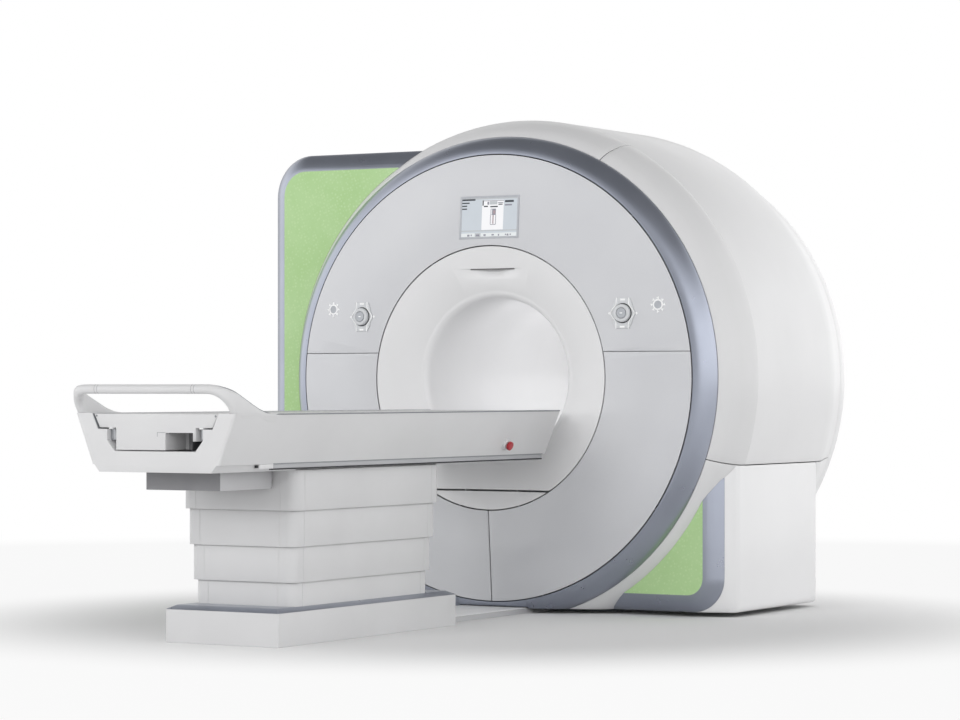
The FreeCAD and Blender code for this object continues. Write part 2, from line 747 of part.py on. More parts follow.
def make_cover_brackets():
    """Plates on the vessel that carry the front, rear, barrel and side covers."""
    inner_radius = vessel_bore + bracket_margin
    lean = math.tan(funnel_lean)
    funnel_seat = (cover_wall + fit_gap) / math.cos(funnel_lean)
    start = (inner_radius, front + (hub_radius - inner_radius) * lean + funnel_seat)
    hub = (hub_radius - half_seam, front + half_seam * lean + funnel_seat)
    disc_foot = (hub_radius - half_seam, seat_line[0][1])
    deepest = max(hub[1], disc_foot[1])
    front_points = [start, hub, (hub[0], deepest)] + seat_line[1:5]
    front_points += [(seat_line[4][0], far), (inner_radius, far)]
    in_front = box(-far, far, -far, -vessel_end, floor_gap, far)
    plates = [bracket_plate(front_points, angle).common(in_front) for angle in front_bracket_angles]

    rear_points = [(inner_radius, seat_line[7][1])] + seat_line[7:4:-1]
    rear_points += [(seat_line[5][0], -far), (inner_radius, -far)]
    behind = box(-far, far, vessel_end, far, floor_gap, far)
    plates += [bracket_plate(rear_points, angle).common(behind) for angle in rear_bracket_angles]

    vessel = cylinder(vessel_radius, -far, far)
    half = bracket_width / 2
    inside = cylinder(barrel_radius - cover_wall - fit_gap, -far, far)
    for place in barrel_bracket_places:
        arm = box(0, barrel_radius, place, place + bracket_thick, axis_height - half, axis_height + half)
        arm = arm.common(inside).cut(vessel)
        plates += [turned(arm, angle) for angle in barrel_bracket_angles]
        for height in side_bracket_heights:
            side_arm = box(-tower_side + cover_wall, -vessel_radius / 2, place, place + bracket_thick,
                           height - half, height + half)
            plates.append(side_arm.cut(vessel))
        base_arm = box(vessel_radius / 2, base_side - cover_wall, place, place + bracket_thick,
                       base_bracket_height - half, base_bracket_height + half)
        plates.append(base_arm.cut(vessel))
    save("cover_brackets", *plates)


def make_gantry_base():
    """The welded base under the magnet, and the flat duct on the floor between gantry and table."""
    clear = cylinder(vessel_radius + fit_gap, -far, far)
    half_thick = saddle_thick / 2
    saddle_top = axis_height - math.sqrt(vessel_radius ** 2 - saddle_half_width ** 2)
    saddle = box(-saddle_half_width, saddle_half_width, saddle_place - half_thick, saddle_place + half_thick,
                 0, saddle_top)
    saddle = saddle.cut(clear)
    reach = saddle_place - half_thick
    beam = box(beam_place - beam_width / 2, beam_place + beam_width / 2, -reach, reach, 0, beam_height)
    spine = box(-spine_width / 2, spine_width / 2, -reach, reach, 0, spine_height)
    save("gantry_base", fuse([saddle, flip_y(saddle), beam, flip_x(beam), spine]))
    inner = duct_half_width - duct_bevel
    section = [(-duct_half_width, 0), (duct_half_width, 0), (inner, duct_height), (-inner, duct_height)]
    save("floor_duct", prism_y(section, base_y + base_length / 2, -saddle_place - half_thick))


def chamfered_plan(half_width, length, corner, middle):
    """A rectangular plan with cut corners, as (x, y) points."""
    y0 = middle - length / 2
    y1 = middle + length / 2
    return [
        (-half_width + corner, y0), (half_width - corner, y0), (half_width, y0 + corner),
        (half_width, y1 - corner), (half_width - corner, y1), (-half_width + corner, y1),
        (-half_width, y1 - corner), (-half_width, y0 + corner),
    ]


def cover_plan(stage, inwards):
    """The plan of a pedestal cover; each stage is a step smaller than the one above it."""
    top_plan = chamfered_plan(cover_half_width, cover_length, cover_corner, pedestal_y)
    return inset(top_plan, stage * cover_step + inwards, closed=True)


def pedestal_cover(stage, bottom, top, lip_below, lip_above):
    """One stage of the telescoping cover, with guide lips that reach towards its neighbours."""
    lip = cover_step - sheet - slide_gap
    solid = prism_z(cover_plan(stage, 0), bottom, top)
    if lip_above:
        solid = solid.fuse(prism_z(cover_plan(stage, -lip), top - sheet, top))
    room_bottom = bottom + sheet if lip_below else bottom
    room = prism_z(cover_plan(stage, sheet), room_bottom, top)
    if lip_below:
        room = room.fuse(prism_z(cover_plan(stage, sheet + lip), bottom, room_bottom))
    return solid.cut(room).removeSplitter()


def make_pedestal():
    """Base, telescoping covers and the lifting columns inside them."""
    tops = [bottom + cover_overlap for bottom in cover_bottoms]
    upper = pedestal_cover(0, cover_bottoms[0], trough_bottom, True, False)
    flange = prism_z(cover_plan(0, sheet), trough_bottom - sheet, trough_bottom)
    flange = flange.cut(prism_z(cover_plan(0, cover_top_flange), 0, far))
    save("pedestal_cover_upper", fuse([upper, flange]))
    save("pedestal_cover_second", pedestal_cover(1, cover_bottoms[1], tops[0], True, True))
    save("pedestal_cover_third", pedestal_cover(2, cover_bottoms[2], tops[1], True, True))
    save("pedestal_cover_lower", pedestal_cover(3, base_plate_thick, tops[2], False, True))

    half_length = base_length / 2
    outer = box(-base_half_width, base_half_width, base_y - half_length, base_y + half_length, 0, base_height)
    inner_half = base_half_width - cover_wall
    inner_length = half_length - cover_wall
    inner = box(-inner_half, inner_half, base_y - inner_length, base_y + inner_length, 0, base_height)
    save("table_base_cover", outer.cut(inner))
    plate = box(-inner_half, inner_half, base_y - inner_length, base_y + inner_length, 0, base_plate_thick)
    anchors = [rod((side * anchor_spacing_x / 2, pedestal_y + end * anchor_spacing_y / 2, 0), (0, 0, 1),
                   anchor_radius, base_plate_thick) for side in (-1, 1) for end in (-1, 1)]
    save("table_base_plate", plate.cut(anchors))
    decks = []
    for inwards, z in ((0, base_height), (base_bevel_in, base_height + base_bevel_rise)):
        half_width = base_half_width - inwards
        reach = half_length - inwards
        decks.append([FreeCAD.Vector(side * half_width, base_y + end * reach, z)
                      for side, end in ((-1, -1), (1, -1), (1, 1), (-1, 1))])
    deck = tapered(*decks)
    deck_room = deck.translated(FreeCAD.Vector(0, 0, -sheet))
    opening = prism_z(cover_plan(3, -slide_gap), 0, far)
    save("table_base_deck", deck.cut([deck_room, opening]))

    def column(stage, bottom):
        half = column_size / 2 - stage * (column_wall + slide_gap)
        hole = half - column_wall
        top = bottom + column_length
        tubes = []
        for place in (pedestal_y - column_place, pedestal_y + column_place):
            tube = box(-half, half, place - half, place + half, bottom, top)
            tubes.append(tube.cut(box(-hole, hole, place - hole, place + hole, bottom, top)))
        return tubes

    rise = column_length - column_overlap
    save("column_lower", *column(0, base_plate_thick))
    save("column_middle", *column(1, base_plate_thick + rise))
    save("column_upper", *column(2, base_plate_thick + 2 * rise))
    foot = box(-lift_motor_foot, lift_motor_foot, pedestal_y - lift_motor_foot, pedestal_y + lift_motor_foot,
               base_plate_thick, base_plate_thick + bracket_thick)
    motor = box(-lift_motor_half, lift_motor_half, pedestal_y - lift_motor_half, pedestal_y + lift_motor_half,
                base_plate_thick, base_plate_thick + lift_motor_length)
    save("lift_motor", fuse([foot, motor]))

    frame_y0 = pedestal_y - cover_length / 2 + frame_end_gap
    frame_y1 = pedestal_y + cover_length / 2 - frame_end_gap
    plate = box(-frame_half, frame_half, frame_y0, frame_y1, trough_bottom - frame_plate, trough_bottom)
    beam = box(-beam_half, beam_half, frame_y0 + frame_beam_end, frame_y1 - frame_beam_end, frame_beam_bottom,
               trough_bottom - frame_plate)
    save("table_frame", fuse([plate, beam]))


def horn_outline(middle, side, up):
    """The many-sided section of a horn about a point, as a face."""
    points = [middle + side * a + up * b for a, b in round_points(handle_radius, horn_sides)]
    return outline(points)


def horn():
    """The right-hand horn of the handle: a round arm that bends back and runs out in an S-curve."""
    slope = math.radians(horn_slope)
    right = FreeCAD.Vector(1, 0, 0)
    along = FreeCAD.Vector(0, math.cos(slope), -math.sin(slope))
    up = FreeCAD.Vector(0, math.sin(slope), math.cos(slope))
    root = FreeCAD.Vector(handle_half + fit_gap, trough_end - handle_reach, handle_height)
    bend_start = root + right * horn_straight
    straight = horn_outline(root, along, up).extrude(right * horn_straight)
    bend = horn_outline(bend_start, along, up).revolve(bend_start + along * horn_bend, up, 90)
    bend_end = bend_start + along * horn_bend + right * horn_bend

    sink_height = table_top - handle_radius
    sweep_drop = fin_sweep * (1 - math.cos(slope))
    run = (bend_end.z - sink_height - sweep_drop) / math.sin(slope)
    arm = horn_outline(bend_end, right, up).extrude(along * run)
    arm_end = bend_end + along * run
    centre = arm_end + up * fin_sweep
    tail = horn_outline(arm_end, right, up).revolve(centre, right, horn_slope)

    middle = centre + FreeCAD.Vector(0, -math.sin(slope / 2), -math.cos(slope / 2)) * fin_sweep
    low_end = FreeCAD.Vector(bend_end.x, centre.y, sink_height)
    sunk_end = FreeCAD.Vector(bend_end.x, centre.y, sink_height - trough_skin)
    sunk_foot = FreeCAD.Vector(bend_end.x, trough_end, sink_height - trough_skin)
    foot = FreeCAD.Vector(bend_end.x, trough_end, table_top)
    edges = [
        Part.makeLine(bend_end, arm_end),
        Part.Arc(arm_end, middle, low_end).toShape(),
        Part.makeLine(low_end, sunk_end),
        Part.makeLine(sunk_end, sunk_foot),
        Part.makeLine(sunk_foot, foot),
        Part.makeLine(foot, bend_end),
    ]
    web = Part.Face(Part.Wire(edges)).extrude(right * fin_thick).translated(right * (-fin_thick / 2))
    return fuse([straight, bend, arm, tail, web])


def trough_section():
    """The trough's U section as (x, z) points: slanted sides, a stepped foot and the stepped channel."""
    right = [
        (trough_foot, trough_bottom),
        (trough_step, trough_step_height),
        (trough_side_foot, trough_step_height),
        (trough_top_half, table_top),
        (channel_top_half, table_top),
        (channel_ledge_half, channel_ledge_height),
        (channel_wall_half, channel_ledge_height),
        (channel_wall_half, channel_wall_height),
        (channel_floor_half, channel_floor),
    ]
    return right + [(-x, z) for x, z in reversed(right)]


def slanted(x_low, x_high, z_low, z_high, z):
    """The X of a slanted side at a height."""
    return x_low + (x_high - x_low) * (z - z_low) / (z_high - z_low)


def on_side(shape):
    """A shape drawn about the origin, facing -Y, set square on the trough's right side."""
    side_x = slanted(trough_side_foot, trough_top_half, trough_step_height, table_top, stop_height)
    out = FreeCAD.Vector(table_top - trough_step_height, 0, trough_side_foot - trough_top_half)
    turn = FreeCAD.Rotation(FreeCAD.Vector(0, -1, 0), out)
    place = FreeCAD.Placement(FreeCAD.Vector(side_x, trough_head - stop_place, stop_height), turn)
    return shape.transformed(place.toMatrix())


def stop_boss():
    """The tapered boss that an emergency button stands on."""
    return on_side(frustum(boss_radius, boss_radius - boss_taper, knob_sides, trough_skin / 2, -boss_height))


def stop_well():
    """The blind hole in a boss for the button's stem."""
    radius = around(stop_stem_radius + fit_gap, stem_sides)
    depth = stop_stem_length + stop_travel + slide_gap
    return on_side(drum(radius, stem_sides, depth - boss_height, -boss_height))


def make_trough():
    """The hollow trough with its horns, and the slot in its floor for the belt clamp."""
    section = trough_section()
    body = prism_y(section, trough_end, trough_head)
    arm = horn()
    boss = stop_boss()
    body = fuse([body, arm, flip_x(arm), boss, flip_x(boss)])
    cavity = prism_y(inset(section, trough_skin, closed=True), trough_end + trough_skin,
                     trough_head - trough_skin)
    clamp_y0 = belt_foot + clamp_start - clamp_length / 2 - slot_margin
    slot = box(-slot_half, slot_half, clamp_y0, clamp_y0 + clamp_length + tabletop_travel + 2 * slot_margin,
               channel_floor - 2 * trough_skin, keel_bottom)
    well = stop_well()
    save("trough", body.cut([cavity, slot, well, flip_x(well)]))
    bar_y = trough_end - handle_reach
    save("handle_bar", rod((-handle_half, bar_y, handle_height), (1, 0, 0), handle_radius, 2 * handle_half))


def make_table_trim():
    """Side rails, their end blocks, the box under the foot end, and the channel's guide rails."""
    rail_top = trough_step_height - fit_gap
    rail_bottom = rail_top - rail_height
    inner_top = slanted(trough_foot, trough_step, trough_bottom, trough_step_height, rail_top)
    inner_bottom = slanted(trough_foot, trough_step, trough_bottom, trough_step_height, rail_bottom)

    def rail_section(proud):
        outer = trough_step + rail_thick + proud
        return [(inner_bottom, rail_bottom), (outer, rail_bottom), (outer, rail_top), (inner_top, rail_top)]

    block_end = trough_end + rail_block_start + rail_block_length
    rail = prism_y(rail_section(0), block_end, trough_head - rail_end_gap)
    block = prism_y(rail_section(rail_block_proud), block_end - rail_block_length, block_end)
    save("side_rails", rail, flip_x(rail), block, flip_x(block))

    box_end = pedestal_y - cover_length / 2 - underframe_gap
    outer = box(-underframe_half, underframe_half, box_end - underframe_length, box_end,
                trough_bottom - underframe_height, trough_bottom)
    inner = box(-underframe_half + sheet, underframe_half - sheet, box_end - underframe_length + sheet,
                box_end - sheet, trough_bottom - underframe_height + sheet, trough_bottom - sheet)
    save("underframe_box", outer.cut(inner))

    guide_margin = (trough_length - guide_length) / 2
    guide = box(channel_wall_half - guide_width, channel_wall_half, trough_end + guide_margin,
                trough_head - guide_margin, channel_wall_height, channel_ledge_height)
    save("guide_rails", guide, flip_x(guide))


def make_tabletop():
    """The board that the patient lies on: wings, a keel with a notch at its foot, and its glides."""
    wing_top = channel_top_half - tabletop_side_gap
    wing_foot = channel_ledge_half - tabletop_side_gap
    right = [
        (keel_half, keel_bottom),
        (keel_half, wing_bottom),
        (wing_foot, wing_bottom),
        (wing_top, tabletop_top),
    ]
    board = prism_y(right + [(-x, z) for x, z in reversed(right)], tabletop_end, trough_head)
    notch = box(notch_start, notch_end, tabletop_end, tabletop_end + notch_depth, keel_bottom,
                keel_bottom + notch_height)
    save("tabletop", board.cut(notch))
    glide = box(channel_wall_half - guide_width + glide_inset, channel_wall_half - glide_inset, tabletop_end,
                trough_head, channel_ledge_height + slide_gap, wing_bottom)
    clamp_y = belt_foot + clamp_start
    clamp = box(-clamp_half, clamp_half, clamp_y - clamp_length / 2, clamp_y + clamp_length / 2,
                belt_level + belt_outer + fit_gap, keel_bottom)
    save("tabletop_glides", glide, flip_x(glide), clamp)


def make_table_drive():
    """The toothed belt under the channel's floor, its two pulleys, and the motor with the brackets."""
    half_width = belt_width / 2

    def loop(radius):
        ends = []
        for y in (belt_foot, belt_head):
            ends.append(rod((-half_width, y, belt_level), (1, 0, 0), radius, belt_width))
        middle = box(-half_width, half_width, belt_foot, belt_head, belt_level - radius, belt_level + radius)
        return fuse(ends + [middle])

    def wheel(radius, sides, y, half):
        points = [(y + a, belt_level + b) for a, b in round_points(radius, sides)]
        return prism_x(points, -half, half)

    save("drive_belt", loop(belt_outer).cut(loop(belt_radius)))
    half = pulley_width / 2
    ear_x = half + slide_gap
    ear_end = ear_x + ear_thick
    ear_bottom = trough_bottom + trough_skin
    carriers = []
    for name, y in (("drive_pulley", belt_foot), ("idler_pulley", belt_head)):
        hole = wheel(around(axle_radius + fit_gap, stem_sides), stem_sides, y, half)
        save(name, wheel(belt_radius - fit_gap, knob_sides, y, half).cut(hole))
        ear = box(ear_x, ear_end, y - ear_length / 2, y + ear_length / 2, ear_bottom, ear_bottom + ear_height)
        carriers.append(fuse([ear, flip_x(ear), wheel(axle_radius, stem_sides, y, ear_end)]))
    motor = box(ear_end, ear_end + belt_motor_length, belt_foot - belt_motor_half,
                belt_foot + belt_motor_half, belt_level - belt_motor_half, belt_level + belt_motor_half)
    save("drive_motor", fuse([carriers[0], motor]), carriers[1])


def make_stop_buttons():
    """The emergency buttons, one on each side of the trough, near the gantry."""
    head_back = -boss_height - stop_travel - slide_gap
    head = drum(stop_radius, knob_sides, head_back, head_back - stop_head)
    stem = drum(stop_stem_radius, stem_sides, head_back, stop_stem_length - boss_height)
    button = on_side(fuse([head, stem]))
    save("stop_button_right", button)
    save("stop_button_left", flip_x(button))


os.makedirs("parts", exist_ok=True)
make_front_disc()
make_funnels()
make_ring_and_band()
make_barrel()
make_side_covers()
make_magnet()
make_cover_brackets()
make_gantry_base()
make_pedestal()
make_trough()
make_table_trim()
make_tabletop()
make_table_drive()
make_stop_buttons()
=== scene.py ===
import json
import math
import bmesh
import bpy
from mathutils import Matrix, Vector


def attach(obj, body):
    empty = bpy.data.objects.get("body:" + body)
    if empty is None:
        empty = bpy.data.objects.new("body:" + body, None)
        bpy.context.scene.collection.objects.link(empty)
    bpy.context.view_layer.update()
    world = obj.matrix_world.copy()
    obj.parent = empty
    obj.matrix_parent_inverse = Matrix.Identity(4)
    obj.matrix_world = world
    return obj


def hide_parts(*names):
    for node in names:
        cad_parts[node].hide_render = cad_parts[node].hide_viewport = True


# MRI scanner: a round gantry with its magnet, and a patient table whose top slides into the bore
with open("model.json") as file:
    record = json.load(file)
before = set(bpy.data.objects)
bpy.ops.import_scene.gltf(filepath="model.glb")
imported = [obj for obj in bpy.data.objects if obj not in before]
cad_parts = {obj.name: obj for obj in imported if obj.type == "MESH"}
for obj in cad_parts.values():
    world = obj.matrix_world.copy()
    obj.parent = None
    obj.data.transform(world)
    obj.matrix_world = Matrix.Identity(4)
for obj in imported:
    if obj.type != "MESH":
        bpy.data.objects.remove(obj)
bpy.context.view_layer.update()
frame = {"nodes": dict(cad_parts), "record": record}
print("frame loaded:", len(frame["nodes"]), "nodes")

axisHeight = 1.025  # the bore's axis runs along Y at this height; lengths are metres in the row frame


# Shader nodes

def linearColour(code):  # an sRGB hex colour as the linear one that a socket takes
    parts = [int(code[i:i + 2], 16) / 255 for i in (1, 3, 5)]
    return [c / 12.92 if c <= 0.04045 else ((c + 0.055) / 1.055) ** 2.4 for c in parts] + [1.0]


def addNode(tree, kind, settings=None, inputs=None):  # sockets take a value or another socket
    node = tree.nodes.new(kind)
    for key, value in (settings or {}).items():
        setattr(node, key, value)
    for key, value in (inputs or {}).items():
        if isinstance(value, bpy.types.NodeSocket):
            tree.links.new(value, node.inputs[key])
        else:
            node.inputs[key].default_value = value
    return node


def newTree(name):
    material = bpy.data.materials.new(name)
    material.use_nodes = True
    material.node_tree.nodes.clear()
    return material, material.node_tree


def objectPlace(tree):
    return addNode(tree, "ShaderNodeTexCoord").outputs["Object"]


def noise(tree, where, millimetres, detail, roughness=0.5):  # its pattern repeats every so many millimetres
    return addNode(tree, "ShaderNodeTexNoise", inputs={
        "Vector": where, "Scale": 1000 / millimetres, "Detail": detail, "Roughness": roughness}).outputs["Fac"]


def spread(tree, value, start, end, low=0.0, high=1.0, smooth=False):  # maps start…end to low…high
    return addNode(tree, "ShaderNodeMapRange", {"interpolation_type": "SMOOTHSTEP" if smooth else "LINEAR"}, {
        "Value": value, "From Min": start, "From Max": end, "To Min": low, "To Max": high}).outputs["Result"]


def blend(tree, share, first, second):
    return addNode(tree, "ShaderNodeMix", {"data_type": "RGBA"}, {0: share, 6: first, 7: second}).outputs[2]


def combine(tree, operation, first, second):
    return addNode(tree, "ShaderNodeMath", {"operation": operation}, {0: first, 1: second}).outputs[0]


def relief(tree, height, strength, depth):
    return addNode(tree, "ShaderNodeBump", inputs={
        "Height": height, "Strength": strength, "Distance": depth}).outputs["Normal"]


def finishSurface(tree, inputs):
    surface = addNode(tree, "ShaderNodeBsdfPrincipled", inputs=inputs)
    addNode(tree, "ShaderNodeOutputMaterial", inputs={"Surface": surface.outputs["BSDF"]})


# Shapes and pieces

def faceOut(bm):
    bmesh.ops.recalc_face_normals(bm, faces=bm.faces[:])


def finishPiece(bm, name, material, body, node=None, sharpAngle=32):
    # the bmesh becomes an object at the origin that rides on a body and may stand for a CAD node
    mesh = bpy.data.meshes.new(name)
    bm.to_mesh(mesh)
    bm.free()
    mesh.polygons.foreach_set("use_smooth", [True] * len(mesh.polygons))
    mesh.set_sharp_from_angle(angle=math.radians(sharpAngle))
    for one in material if isinstance(material, list) else [material]:
        mesh.materials.append(one)
    piece = bpy.data.objects.new(name, mesh)
    bpy.context.scene.collection.objects.link(piece)
    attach(piece, body)
    if node:
        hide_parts(node)


def roundOff(bm, parts, run, segments, affect="EDGES"):
    bmesh.ops.bevel(bm, geom=parts, offset=run, offset_type="OFFSET", segments=segments, profile=0.5,
                    affect=affect, clamp_overlap=True, material=-1)


def softenEdges(bm, width, segments=2, angle=25, pick=None):  # rounds the edges that are sharper than the angle
    limit = math.radians(angle)
    edges = [e for e in bm.edges if len(e.link_faces) == 2 and e.calc_face_angle() > limit
             and (pick is None or pick(e))]
    if edges and width:
        roundOff(bm, edges, width, segments)


def cutAway(bm, point, normal):  # removes what lies on the side that the normal points to
    geometry = bm.verts[:] + bm.edges[:] + bm.faces[:]
    bmesh.ops.bisect_plane(bm, geom=geometry, dist=1e-6, plane_co=point, plane_no=normal, clear_outer=True)


def giveWall(bm, wall, soften=0.0012):  # an open sheet gets a wall on its inner side and soft rims
    bmesh.ops.solidify(bm, geom=bm.faces[:], thickness=wall)
    bm.normal_update()
    softenEdges(bm, soften, 2, 50)


def ringSheet(line, startDeg=0, endDeg=360, fillets=None, loop=False, fullSteps=192):
    # spins a line of (radius, y) points about the bore; fillets gives a corner's run and its steps;
    # a line from the front to the rear has its faces outwards, and a loop makes a solid ring
    bm = bmesh.new()
    turn = math.radians(startDeg)
    verts = [bm.verts.new((r * math.cos(turn), y, axisHeight + r * math.sin(turn))) for r, y in line]
    for pair in zip(verts, verts[1:] + verts[:1] if loop else verts[1:]):
        bm.edges.new(pair)
    for index, (run, segments) in (fillets or {}).items():
        roundOff(bm, [verts[index]], run, segments, "VERTICES")
    share = (endDeg - startDeg) / 360
    bmesh.ops.spin(bm, geom=bm.verts[:] + bm.edges[:], cent=(0, 0, axisHeight), axis=(0, -1, 0), dvec=(0, 0, 0),
                   angle=math.tau * share, steps=max(8, round(fullSteps * share)), use_merge=share >= 1)
    faceOut(bm)
    if loop:
        return bm
    (r0, y0), (r1, y1) = max(zip(line, line[1:]), key=lambda pair: math.dist(*pair))
    middle = Vector(((r0 + r1) / 2, (y0 + y1) / 2))

    def offMiddle(one):
        spot = one.calc_center_median()
        return (Vector((math.hypot(spot.x, spot.z - axisHeight), spot.y)) - middle).length

    face = min(bm.faces, key=offMiddle)
    centre = face.calc_center_median()
    radial = Vector((centre.x, 0, centre.z - axisHeight)).normalized()
    outwards = radial * (y1 - y0) + Vector((0, r0 - r1, 0))
    if face.normal.dot(outwards) < 0:
        bmesh.ops.reverse_faces(bm, faces=bm.faces[:])
    bm.normal_update()
    return bm


def ringCover(name, node, material, line, startDeg=0, endDeg=360, fillets=None, foot=None, wall=0.005,
              soften=0.0012):
    # a cover of the gantry: the spun sheet, cut off above the floor, with its wall
    sheet = ringSheet(line, startDeg, endDeg, fillets)
    if foot:
        cutAway(sheet, (0, 0, foot), (0, 0, -1))
    giveWall(sheet, wall, soften)
    finishPiece(sheet, name, material, "gantry", node)


def boxShape(bm, *spans):  # a box from its spans along X, Y and Z, whose ends come in either order
    low, high = (Vector([pick(span) for span in spans]) for pick in (min, max))
    verts = bmesh.ops.create_cube(bm, size=1.0)["verts"]
    bmesh.ops.scale(bm, vec=high - low, verts=verts)
    bmesh.ops.translate(bm, vec=(low + high) / 2, verts=verts)
    return verts


def subtract(bm, cutter):  # cuts one shape out of another
    meshes = []
    for one in (bm, cutter):
        faceOut(one)
        mesh = bpy.data.meshes.new("cutting")
        one.to_mesh(mesh)
        one.free()
        meshes.append(bpy.data.objects.new("cutting", mesh))
        bpy.context.scene.collection.objects.link(meshes[-1])
    work = meshes[0].modifiers.new("cut", "BOOLEAN")
    work.operation = "DIFFERENCE"
    work.solver = "MANIFOLD"
    work.object = meshes[1]
    bpy.context.view_layer.update()
    result = bmesh.new()
    result.from_object(meshes[0], bpy.context.evaluated_depsgraph_get())
    for one in meshes:
        bpy.data.objects.remove(one)
    return result


def turnTo(direction):  # turns +Z to a direction
    return Vector((0, 0, 1)).rotation_difference(Vector(direction)).to_matrix().to_4x4()


def rodShape(bm, place, direction, radius, length, sides=48, radiusEnd=None):
    # a rod that starts at a place and runs along a direction
    verts = bmesh.ops.create_cone(bm, cap_ends=True, segments=sides, radius1=radius, radius2=radiusEnd or radius,
                                  depth=length)["verts"]
    matrix = Matrix.Translation(place) @ turnTo(direction) @ Matrix.Translation((0, 0, length / 2))
    bmesh.ops.transform(bm, matrix=matrix, verts=verts)


def edgeRing(bm, matrix, radius, sides):
    verts = bmesh.ops.create_circle(bm, cap_ends=False, segments=sides, radius=radius)["verts"]
    bmesh.ops.transform(bm, matrix=matrix, verts=verts)
    return verts


def closeTube(bm, rings):  # joins the rings into one tube and closes its ends
    loops = [list(dict.fromkeys(e for v in ring for e in v.link_edges)) for ring in rings]
    for first, second in zip(loops, loops[1:]):
        bmesh.ops.bridge_loops(bm, edges=first + second)
    bmesh.ops.holes_fill(bm, edges=[e for e in bm.edges if e.is_boundary], sides=0)


def sweptLine(bm, points, radius, sides=8):  # a fine round line along a path
    ahead = points[1:] + [points[-1] * 2 - points[-2]]
    closeTube(bm, [edgeRing(bm, Matrix.Translation(here) @ turnTo(there - here), radius, sides)
                   for here, there in zip(points, ahead)])


def movedPart(made):  # the corners that an extrusion has made
    return [v for v in made["geom"] if isinstance(v, bmesh.types.BMVert)]


def drawnOut(bm, outline, start, end):  # a closed outline of (x, z) points, drawn out along Y
    face = bm.faces.new([bm.verts.new((x, start, z)) for x, z in outline])
    made = bmesh.ops.extrude_face_region(bm, geom=[face])
    bmesh.ops.translate(bm, vec=(0, end - start, 0), verts=movedPart(made))
    faceOut(bm)


def mirrorTo(bm, side):
    if side < 0:
        bmesh.ops.scale(bm, vec=(-1, 1, 1), verts=bm.verts[:])
    faceOut(bm)


def wearLook(verts, look):  # the faces at these corners wear another of the piece's materials
    for face in {f for v in verts for f in v.link_faces}:
        face.material_index = look


def fromFrame(node, width=0.0012, segments=2, angle=25):
    # a merged copy of a CAD node with its flat faces joined and its edges softened
    bm = bmesh.new()
    bm.from_mesh(frame["nodes"][node].data)
    bmesh.ops.remove_doubles(bm, verts=bm.verts[:], dist=1e-5)
    bmesh.ops.dissolve_limit(bm, angle_limit=math.radians(0.6), verts=bm.verts[:], edges=bm.edges[:])
    bm.normal_update()
    softenEdges(bm, width, segments, angle)
    return bm


# Materials

mostNoise = (0.3, 0.7)  # nearly all values of a noise lie between these
smearShare = 0.35  # the uneven shine is this much finer than the clouds in the colour
metalShine = (-0.07, 0.08)  # how far the roughness of drawn metal goes down and up
litGlass = {"colour": "#1c1f23", "roughness": 0.25, "grainMm": 45, "shade": 0.94}


def paintedSurface(name, v):
    # lacquer or moulding: slow clouds in the colour, a fine skin in the bump, a slightly uneven shine
    material, tree = newTree(name)
    where = objectPlace(tree)
    clouds = spread(tree, noise(tree, where, v["cloudMm"], 3.0), *mostNoise)
    smears = noise(tree, where, v["cloudMm"] * smearShare, 4.0, 0.55)
    skin = noise(tree, where, v["skinMm"], 2.0, 0.6)
    finishSurface(tree, {
        "Base Color": blend(tree, clouds, linearColour(v["colour"]), linearColour(v["tint"])),
        "Roughness": spread(tree, smears, *mostNoise, v["roughness"] - v["shineSpread"],
                            v["roughness"] + v["shineSpread"]),
        "Normal": relief(tree, skin, v["skinStrength"], v["skinDepthMm"] / 1000),
        "Metallic": v.get("metallic", 0.0), "IOR": v.get("ior", 1.5), "Coat Weight": v.get("coat", 0.0),
        "Coat Roughness": v.get("coatRoughness", 0.08)})
    return material


def drawnMetal(name, v):
    # extruded or brushed metal: fine lines along one axis in the bump and the shine
    material, tree = newTree(name)
    where = objectPlace(tree)
    stretched = addNode(tree, "ShaderNodeMapping", inputs={"Vector": where, "Scale": v["stretch"]}).outputs["Vector"]
    lines = noise(tree, stretched, v["lineMm"], 3.0)
    clouds = noise(tree, where, v["cloudMm"], 3.0)
    finishSurface(tree, {
        "Base Color": blend(tree, clouds, linearColour(v["colour"]), linearColour(v["tint"])),
        "Roughness": spread(tree, lines, *mostNoise, *(v["roughness"] + change for change in metalShine)),
        "Metallic": 1.0, "Normal": relief(tree, lines, v["lineStrength"], v["lineDepthMm"] / 1000)})
    return material


def dottedPanel(name, v):
    # printed green sheet behind a clear matt film: small paler dots in rows, with slow cloudy tones
    material, tree = newTree(name)
    where = objectPlace(tree)
    flat = addNode(tree, "ShaderNodeMapping", inputs={
        "Vector": where, "Scale": (1.0, 0.0, 1.0), "Rotation": (0.0, math.radians(v["rowTurn"]), 0.0)})
    cells = addNode(tree, "ShaderNodeTexVoronoi", {"feature": "F1"}, {
        "Vector": flat.outputs["Vector"], "Scale": 1000 / v["dotMm"], "Randomness": v["dotScatter"]})
    dots = spread(tree, cells.outputs["Distance"], v["dotCore"], v["dotEdge"], 1.0, 0.0)
    clouds = spread(tree, noise(tree, where, v["cloudMm"], 5.0, 0.6), *v["cloudSpan"])
    ground = blend(tree, clouds, linearColour(v["colour"]), linearColour(v["tint"]))
    softDots = combine(tree, "MULTIPLY", dots, noise(tree, where, v["speckleMm"], 2.0))
    finishSurface(tree, {
        "Base Color": blend(tree, softDots, ground, linearColour(v["dot"])), "Roughness": v["roughness"],
        "IOR": v["ior"], "Normal": relief(tree, dots, v["dotStrength"], v["dotDepthMm"] / 1000)})
    return material


